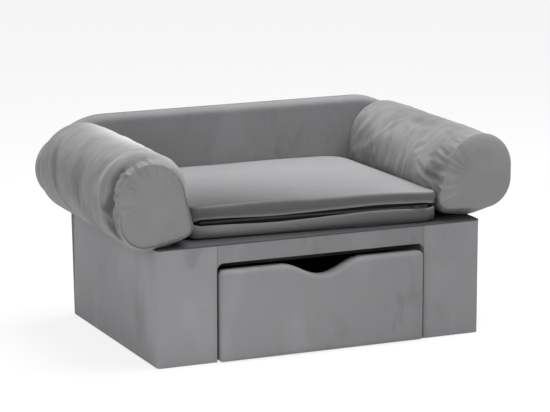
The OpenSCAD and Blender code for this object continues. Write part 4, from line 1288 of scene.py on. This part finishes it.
def pad(xs, low, high, radius, thickness, cell, wave, seed, place, top=None, hollow=None):
    """Points and faces of a closed pad between two borders, with a rounded edge all round.

    Each column is a place in xs with its low and high ends; place turns a column's place, its
    height and the depth behind the face into a point. The upper edge may be rounder than the
    others. A hollow pad reaches its whole thickness only along its rim.
    """
    edge = np.array(edge_steps(radius))
    upper = np.array(edge_steps(top or radius))
    middle_rows = max(3, int((high - low).max() / cell))
    ramp_rows = np.linspace(0, 1, middle_rows + 1)[1:-1]
    columns = []
    for a, b in zip(low, high):
        near = a + edge * min(1, (b - a) * 0.45 / radius)
        far = (b - upper * min(1, (b - a) * 0.45 / (top or radius)))[::-1]
        columns.append(np.concatenate([near, between(near[-1], far[0], ramp_rows), far]))
    z = np.array(columns)
    x = np.repeat(np.array(xs)[:, None], z.shape[1], 1)
    first = np.vstack([np.stack([xs, low], 1), np.stack([xs, high], 1)[::-1]])
    span = np.roll(first, -1, 0) - first
    size = np.maximum((span**2).sum(1), 1e-12)
    spots = np.stack([x, z], -1).reshape(-1, 1, 2)
    part = np.clip(((spots - first) * span).sum(-1) / size, 0, 1)
    away = np.linalg.norm(spots - first - part[..., None] * span, axis=-1).min(1).reshape(x.shape)
    depth = rounding(away, radius)
    if top:
        depth = np.maximum(depth, rounding(high[:, None] - z, top))
    flat = np.stack([x, z, np.zeros_like(x)], -1)
    lumps = soft_noise(flat, 0.11, seed) * wave + soft_noise(flat, 0.03, seed + 3) * wave * 0.25
    depth = depth + (lumps + wave) * np.clip(away / (2 * radius), 0, 1) * 0.8
    on_rim = away < 1.8 * MM
    deep = np.where(on_rim, thickness, hollow or thickness)
    rows, cols = x.shape
    points = np.vstack([place(x, z, d).reshape(-1, 3) for d in (depth, deep)])
    count = rows * cols
    faces = grid_faces(rows, cols) + [f[::-1] for f in grid_faces(rows, cols, count)]
    at = np.arange(count).reshape(rows, cols)
    loop = np.concatenate([at[:-1, 0], at[-1, :-1], at[:0:-1, -1], at[0, :0:-1]])
    for k, i in enumerate(loop):
        j = loop[(k + 1) % len(loop)]
        faces.append([int(i), int(j), int(j + count), int(i + count)])
    return points, faces


def columns_between(low, high, radius, cell):
    """Places across a pad: close together at both ends, then even."""
    edge = np.array(edge_steps(radius))
    inner = np.linspace(low + radius, high - radius, max(3, int((high - low) / cell)) + 1)[1:-1]
    return np.concatenate([low + edge, inner, (high - edge)[::-1]])


def upright(face_y, inward=1):
    """Puts the points of a pad on an upright face, with its depth going inward."""
    return lambda x, z, depth: np.stack([x, face_y + inward * depth, z], -1)


def quarter(xs, straight, radius):
    """Height of the round corners that start where the straight part ends, on either side."""
    past = np.maximum(np.abs(xs) - straight, 0)
    return np.sqrt(np.maximum(radius**2 - past**2, 0))


def back_outline(xs):
    """Lower and upper end of the back at each place across it."""
    circles = np.array([BACK_CORNER, BACK_END]) / 1000
    turn = np.linspace(0, math.pi / 2, 181)
    way = np.stack([np.cos(turn), np.sin(turn)], 1)
    chosen = circles[(circles[:, :2] @ way.T + circles[:, 2:3]).argmax(0)]
    line = (chosen[:, :2] + chosen[:, 2:3] * way)[::-1]
    high = np.interp(np.abs(xs), line[:, 0], line[:, 1])
    x, z, radius = circles[1]
    low = z - np.sqrt(np.maximum(radius**2 - np.maximum(np.abs(xs) - x, x - np.abs(xs)) ** 2, 0))
    return np.where(np.abs(xs) <= BASE_X, BASE_TOP + SKIN_GAP, low), high


def make_back():
    """The padded back, whose round ends follow the arm rolls, and the cover over the rear."""
    v = settings().cover
    turn = np.linspace(0, math.pi / 2, 16)
    end = BACK_END[0] / 1000
    ends = end + (BACK_HIGH.x - end) * np.sin(turn)
    steps = int(2 * end / v.cell)
    xs = np.unique(np.concatenate([-ends, np.linspace(-end, end, steps), [-BASE_X, BASE_X], ends]))
    low, high = back_outline(xs)
    points, faces = pad(
        xs, low, high, v.back_edge, REAR_LOW.y - BACK_FRONT + 1 * MM, v.cell, v.wave * 1.4, 8.8,
        upright(BACK_FRONT),
    )
    # Painted shade over the back, deeper towards the left
    brushed = 0.19 + 0.08 * np.clip(0.5 - points[:, 0] / 0.4, 0, 1)
    made = piece("back_pad", points, faces, pile("base_plush"), "base", "plush", brushed)
    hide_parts("back_cover", "back_foam")
    low = np.where(np.abs(xs) <= BASE_X, REAR_LOW.z, low)
    points, faces = pad(
        xs, low, high, v.edge, REAR_HIGH.y - REAR_LOW.y, v.cell, v.wave * 0.6, 4.4,
        upright(REAR_HIGH.y, -1),
    )
    made = piece("rear_panel", points, faces, pile("base_plush"), "base", "plush")
    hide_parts("rear_cover")


# Shape of the padding's unevenness in each side's cover, and the share by which its colour is darkened as painted
# shade
SIDE_LOOKS = {"left": (2.2, 0.03), "right": (6.1, 0.18)}


def make_side(side):
    """Cover of one end of the base, from inside the opening round the front corner to the rear."""
    v = settings().cover
    seed, painted_shade = SIDE_LOOKS[side]
    quarter_turns = (
        (OPENING_X + v.lip, v.lip, 1.0, 1.5), (BASE_X - v.corner, v.corner, 1.5, 2.0),
    )
    plan, normal = [(OPENING_X, RAIL_HIGH.y)], [(-1, 0)]
    for x, radius, first, last in quarter_turns:
        for turn in np.linspace(first * math.pi, last * math.pi, 9):
            way = (math.cos(turn), math.sin(turn))
            plan.append((x + radius * way[0], FRONT_Y + radius + radius * way[1]))
            normal.append(way)
    plan.append((BASE_X, SIDE_HIGH.y))
    normal.append((1, 0))
    plan, normal = np.array(plan), np.array(normal, float)
    steps = np.linalg.norm(np.diff(plan, axis=0), axis=1)
    run = np.concatenate([[0], np.cumsum(steps)])
    marks = np.unique(np.concatenate([columns_between(0, run[-1], v.edge, v.cell), run]))
    low = np.full(len(marks), SIDE_LOW.z - v.foot)
    high = np.full(len(marks), SIDE_HIGH.z)

    def place(s, z, depth):
        px, py = (np.interp(s, run, plan[:, k]) for k in (0, 1))
        nx, ny = (np.interp(s, run, normal[:, k]) for k in (0, 1))
        return np.stack([px - nx * depth, py - ny * depth, z], -1)

    past_lip = run[9]
    wave = v.wave * np.clip((marks - past_lip) / 0.02, 0, 1)[:, None]
    points, faces = pad(marks, low, high, v.edge, v.skin, v.cell, wave, seed, place, v.top)
    if side == "left":
        points = points * (-1, 1, 1)
    # Each side's cover is darkened evenly by its painted shade
    made = piece(
        f"{side}_side_panel", points, faces, pile("base_plush"), "base", "plush",
        np.full(len(points), painted_shade),
    )
    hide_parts(f"{side}_cover")


def make_rail():
    """Cover of the rail over the drawer, turned in under its lower edge."""
    v = settings().cover
    corner = OPENING_X - v.fillet
    turned = corner + v.fillet * np.sin(np.linspace(0, 1.5, 9))
    xs = columns_between(-OPENING_X, OPENING_X, v.edge, v.cell)
    xs = np.unique(np.concatenate([xs, -turned, turned]))
    low = RAIL_LOW.z + quarter(xs, corner, v.fillet)
    high = np.full(len(xs), RAIL_HIGH.z)
    points, faces = pad(
        xs, low, high, v.edge, RAIL_HIGH.y - RAIL_LOW.y, v.cell, v.wave * 0.7, 1.3,
        upright(FRONT_Y), v.top,
    )
    # Painted shade over the rail's cover, deeper towards the right
    brushed = 0.25 + 0.07 * points[:, 0] / OPENING_X
    made = piece("rail_panel", points, faces, pile("base_plush"), "base", "plush", brushed)
    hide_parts("rail_cover")


def make_deck():
    """Cloth over the deck, rolled over its front and side edges."""
    v = settings().cover
    xs = columns_between(-BASE_X, BASE_X, v.corner, v.cell * 2)
    low = FRONT_Y + v.corner - quarter(xs, BASE_X - v.corner, v.corner)
    high = np.full(len(xs), DECK_HIGH.y)

    def place(x, y, depth):
        return np.stack([x, y, BASE_TOP - depth], -1)

    thickness = DECK_HIGH.z - DECK_LOW.z
    points, faces = pad(xs, low, high, thickness, thickness, v.cell * 2, 0.0002, 3.7, place)
    across, deep = points[:, 0], points[:, 1]
    # Painted shade, deeper towards the left, and a painted shadow on the deck under each roll
    shadow_under_roll = np.clip((np.abs(across) - 0.225) / 0.02, 0, 1) * (deep > FRONT_Y + 0.020)
    brushed = np.clip(0.25 - across, 0, 0.54) + 0.65 * shadow_under_roll
    made = piece("deck_panel", points, faces, pile("deck_cloth"), "base", "deck_cloth", brushed)
    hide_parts("deck_cover")


def make_drawer_front():
    """The drawer's padded front, with the finger scoop in its top edge."""
    v = settings().cover
    half = DRAWER_HIGH.x
    xs = columns_between(-half, half, v.drawer_edge, v.cell * 0.8)
    ends = half - v.drawer_corner * (1 - np.sin(np.linspace(0, math.pi / 2, 7)))
    xs = np.unique(np.concatenate([xs, ends, -ends]))
    top = DRAWER_HIGH.z - v.drawer_corner + quarter(xs, half - v.drawer_corner, v.drawer_corner)
    dip = np.where(np.abs(xs) < v.scoop / 2, (1 + np.cos(2 * math.pi * xs / v.scoop)) / 2, 0)
    high = top - v.scoop_deep * dip
    low = DRAWER_LOW.z - v.foot + v.foot_r - quarter(xs, half - v.foot_r, v.foot_r)
    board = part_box("drawer_front_board")[0].y - DRAWER_LOW.y
    points, faces = pad(
        xs, low, high, v.drawer_edge, DRAWER_HIGH.y - DRAWER_LOW.y, v.cell * 0.8, v.wave * 1.2, 9.5,
        upright(DRAWER_LOW.y), hollow=board,
    )
    # Painted shade over the drawer's front, deeper towards the right
    brushed = 0.15 + 0.07 * points[:, 0] / half
    made = piece("drawer_pad", points, faces, pile("base_plush"), "drawer", "plush", brushed)
    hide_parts("drawer_front_cover", "drawer_front_foam")


# Operators


# Half the floor's width, and the spot that the lamps point at
FLOOR = 6.0
LIT_SPOT = Vector((0, 0, 0.2))


class SOFABED_OT_arm_rolls(bpy.types.Operator):
    """Make the two stuffed arm rolls with their gathered caps"""

    bl_idname = "sofabed.arm_rolls"
    bl_label = "Arm Rolls"

    def execute(self, context):
        for side in SIDES:
            make_roll(side)
        return {"FINISHED"}


class SOFABED_OT_cushion(bpy.types.Operator):
    """Make the crowned seat cushion with the open lips of its zip"""

    bl_idname = "sofabed.cushion"
    bl_label = "Seat Cushion"

    def execute(self, context):
        make_cushion()
        make_zip()
        return {"FINISHED"}


class SOFABED_OT_back(bpy.types.Operator):
    """Make the padded back and the cover over the rear"""

    bl_idname = "sofabed.back"
    bl_label = "Back"

    def execute(self, context):
        make_back()
        return {"FINISHED"}


class SOFABED_OT_covers(bpy.types.Operator):
    """Make the covers of the base's sides, rail and deck"""

    bl_idname = "sofabed.covers"
    bl_label = "Base Covers"

    def execute(self, context):
        for side in SIDES:
            make_side(side)
        make_rail()
        make_deck()
        return {"FINISHED"}


class SOFABED_OT_drawer_front(bpy.types.Operator):
    """Make the padded front of the drawer"""

    bl_idname = "sofabed.drawer_front"
    bl_label = "Drawer Front"

    def execute(self, context):
        make_drawer_front()
        return {"FINISHED"}


class SOFABED_OT_boards(bpy.types.Operator):
    """Give every board, fastener and zip piece of the frame its finish"""

    bl_idname = "sofabed.boards"
    bl_label = "Boards and Fasteners"

    def execute(self, context):
        tones = {m["slot"]: m["base_color"] for m in frame["record"]["materials"]}
        makers = {
            "plywood": lambda n: plywood(n, tones["plywood"]),
            "drawer_panel": lambda n: woven(n, tones["drawer_panel"], 0.0012),
            "foam": lambda n: foam(n, tones["foam"]),
            "filling": lambda n: foam(n, tones["filling"]),
            "screw_steel": lambda n: moulded(n, tones["screw_steel"], 0.35, 1.0),
            "glide_plastic": lambda n: moulded(n, tones["glide_plastic"], 0.5),
            # The zip's black tape, its own colour darkened further as painted shade of the recess it lies in
            "zip_black": lambda n: woven(n, tint(tones["zip_black"], 0.55)[:3], 0.0007),
            "zip_coil": lambda n: moulded(n, tones["zip_coil"], 0.45),
            "zip_metal": lambda n: moulded(n, tones["zip_metal"], 0.38, 0.6),
            "deck_cloth": lambda n: woven(n, tones["deck_cloth"], 0.001),
            "plush": lambda n: pile("base_plush"),
            "plush_light": lambda n: pile("roll_plush"),
        }
        # Boards seen through the gap over the drawer get the dark grey plywood, painted shade
        gap_shade_plywood = finish("plywood_stained", lambda n: plywood(n, GAP_SHADE_GREY))
        for part in frame["record"]["subparts"]:
            node, slot = part["node"], part["material_slot"]
            shown = frame["nodes"][node]
            look = gap_shade_plywood if node in BEHIND_GAP else finish(f"{slot}_finish", makers[slot])
            shown.data.materials.clear()
            shown.data.materials.append(look)
        return {"FINISHED"}


class SOFABED_OT_studio(bpy.types.Operator):
    """Make the floor, the lights and the camera"""

    bl_idname = "sofabed.studio"
    bl_label = "Studio"

    def execute(self, context):
        chosen = settings().studio
        scene = context.scene
        scene.view_settings.view_transform = "Standard"
        f = Finish("floor_white")
        rays = [
            f.node("ShaderNodeLightPath", out=name)
            for name in ("Is Camera Ray", "Is Glossy Ray", "Is Transmission Ray")
        ]
        seen = (rays[0] + rays[1] + rays[2]).clamped()
        white = f.node("ShaderNodeEmission", None, WHITE, 1.0)
        paper = f.node("ShaderNodeBsdfDiffuse", None, (0.9, 0.9, 0.9, 1))
        shown = f.node("ShaderNodeMixShader", None, seen * chosen.floor, paper, white)
        f.node("ShaderNodeOutputMaterial", None, shown)
        floor = bpy.data.meshes.new("floor")
        corners = [(FLOOR * x, FLOOR * y, 0) for x, y in ((-1, -1), (1, -1), (1, 1), (-1, 1))]
        floor.from_pydata(corners, [], [(0, 1, 2, 3)])
        floor.materials.append(f.made)
        ground = bpy.data.objects.new("floor", floor)
        scene.collection.objects.link(ground)
        f = Finish("sky", "worlds")
        even = f.node("ShaderNodeBackground", None, (0.97, 0.98, 1, 1), chosen.sky)
        plain = f.node("ShaderNodeBackground", None, WHITE, 1.0)
        camera_ray = f.node("ShaderNodeLightPath", out="Is Camera Ray")
        shown = f.node("ShaderNodeMixShader", None, camera_ray, even, plain)
        f.node("ShaderNodeOutputWorld", None, shown)
        scene.world = f.made
        for name, spot, power, size in (
            ("key", (0.45, -0.1, 2.0), chosen.key, 1.5),
            ("fill", (-2.3, -1.7, 1.3), chosen.fill, 1.6),
        ):
            lamp = bpy.data.lights.new(name, "AREA")
            lamp.energy, lamp.size = power, size
            holder = bpy.data.objects.new(name, lamp)
            scene.collection.objects.link(holder)
            holder.location = spot
            way = LIT_SPOT - holder.location
            holder.rotation_euler = way.to_track_quat("-Z", "Y").to_euler()
        camera = bpy.data.objects.new("camera", bpy.data.cameras.new("camera"))
        scene.collection.objects.link(camera)
        camera.data.lens, camera.data.sensor_width = chosen.lens, 36
        camera.location = chosen.place
        camera.rotation_euler = (math.pi / 2 - chosen.pitch, 0, -chosen.yaw)
        scene.camera = camera
        return {"FINISHED"}


OPERATORS = (
    SOFABED_OT_studio,
    SOFABED_OT_boards,
    SOFABED_OT_covers,
    SOFABED_OT_back,
    SOFABED_OT_drawer_front,
    SOFABED_OT_cushion,
    SOFABED_OT_arm_rolls,
)


class SOFABED_PT_panel(bpy.types.Panel):
    """Lists the pieces and their sizes"""

    bl_label = "Sofa Bed"
    bl_idname = "SOFABED_PT_panel"
    bl_space_type = "VIEW_3D"
    bl_region_type = "UI"
    bl_category = "Sofa Bed"

    def draw(self, context):
        for operator in OPERATORS:
            self.layout.operator(operator.bl_idname)
        for group in ("plush", "roll", "cushion", "cover", "zip", "studio"):
            chosen = getattr(context.scene.sofa_bed, group)
            box = self.layout.box()
            box.label(text=group.capitalize())
            for name in chosen.__annotations__:
                box.prop(chosen, name)


CLASSES = (
    PlushSettings, RollSettings, CushionSettings, CoverSettings, ZipSettings, StudioSettings,
    SofaBedSettings, *OPERATORS, SOFABED_PT_panel,
)


def register():
    for item in CLASSES:
        bpy.utils.register_class(item)
    bpy.types.Scene.sofa_bed = PointerProperty(type=SofaBedSettings)


def unregister():
    del bpy.types.Scene.sofa_bed
    for item in reversed(CLASSES):
        bpy.utils.unregister_class(item)


def main():
    register()
    for operator in OPERATORS:
        group, name = operator.bl_idname.split(".")
        getattr(getattr(bpy.ops, group), name)()


if __name__ == "__main__":
    main()
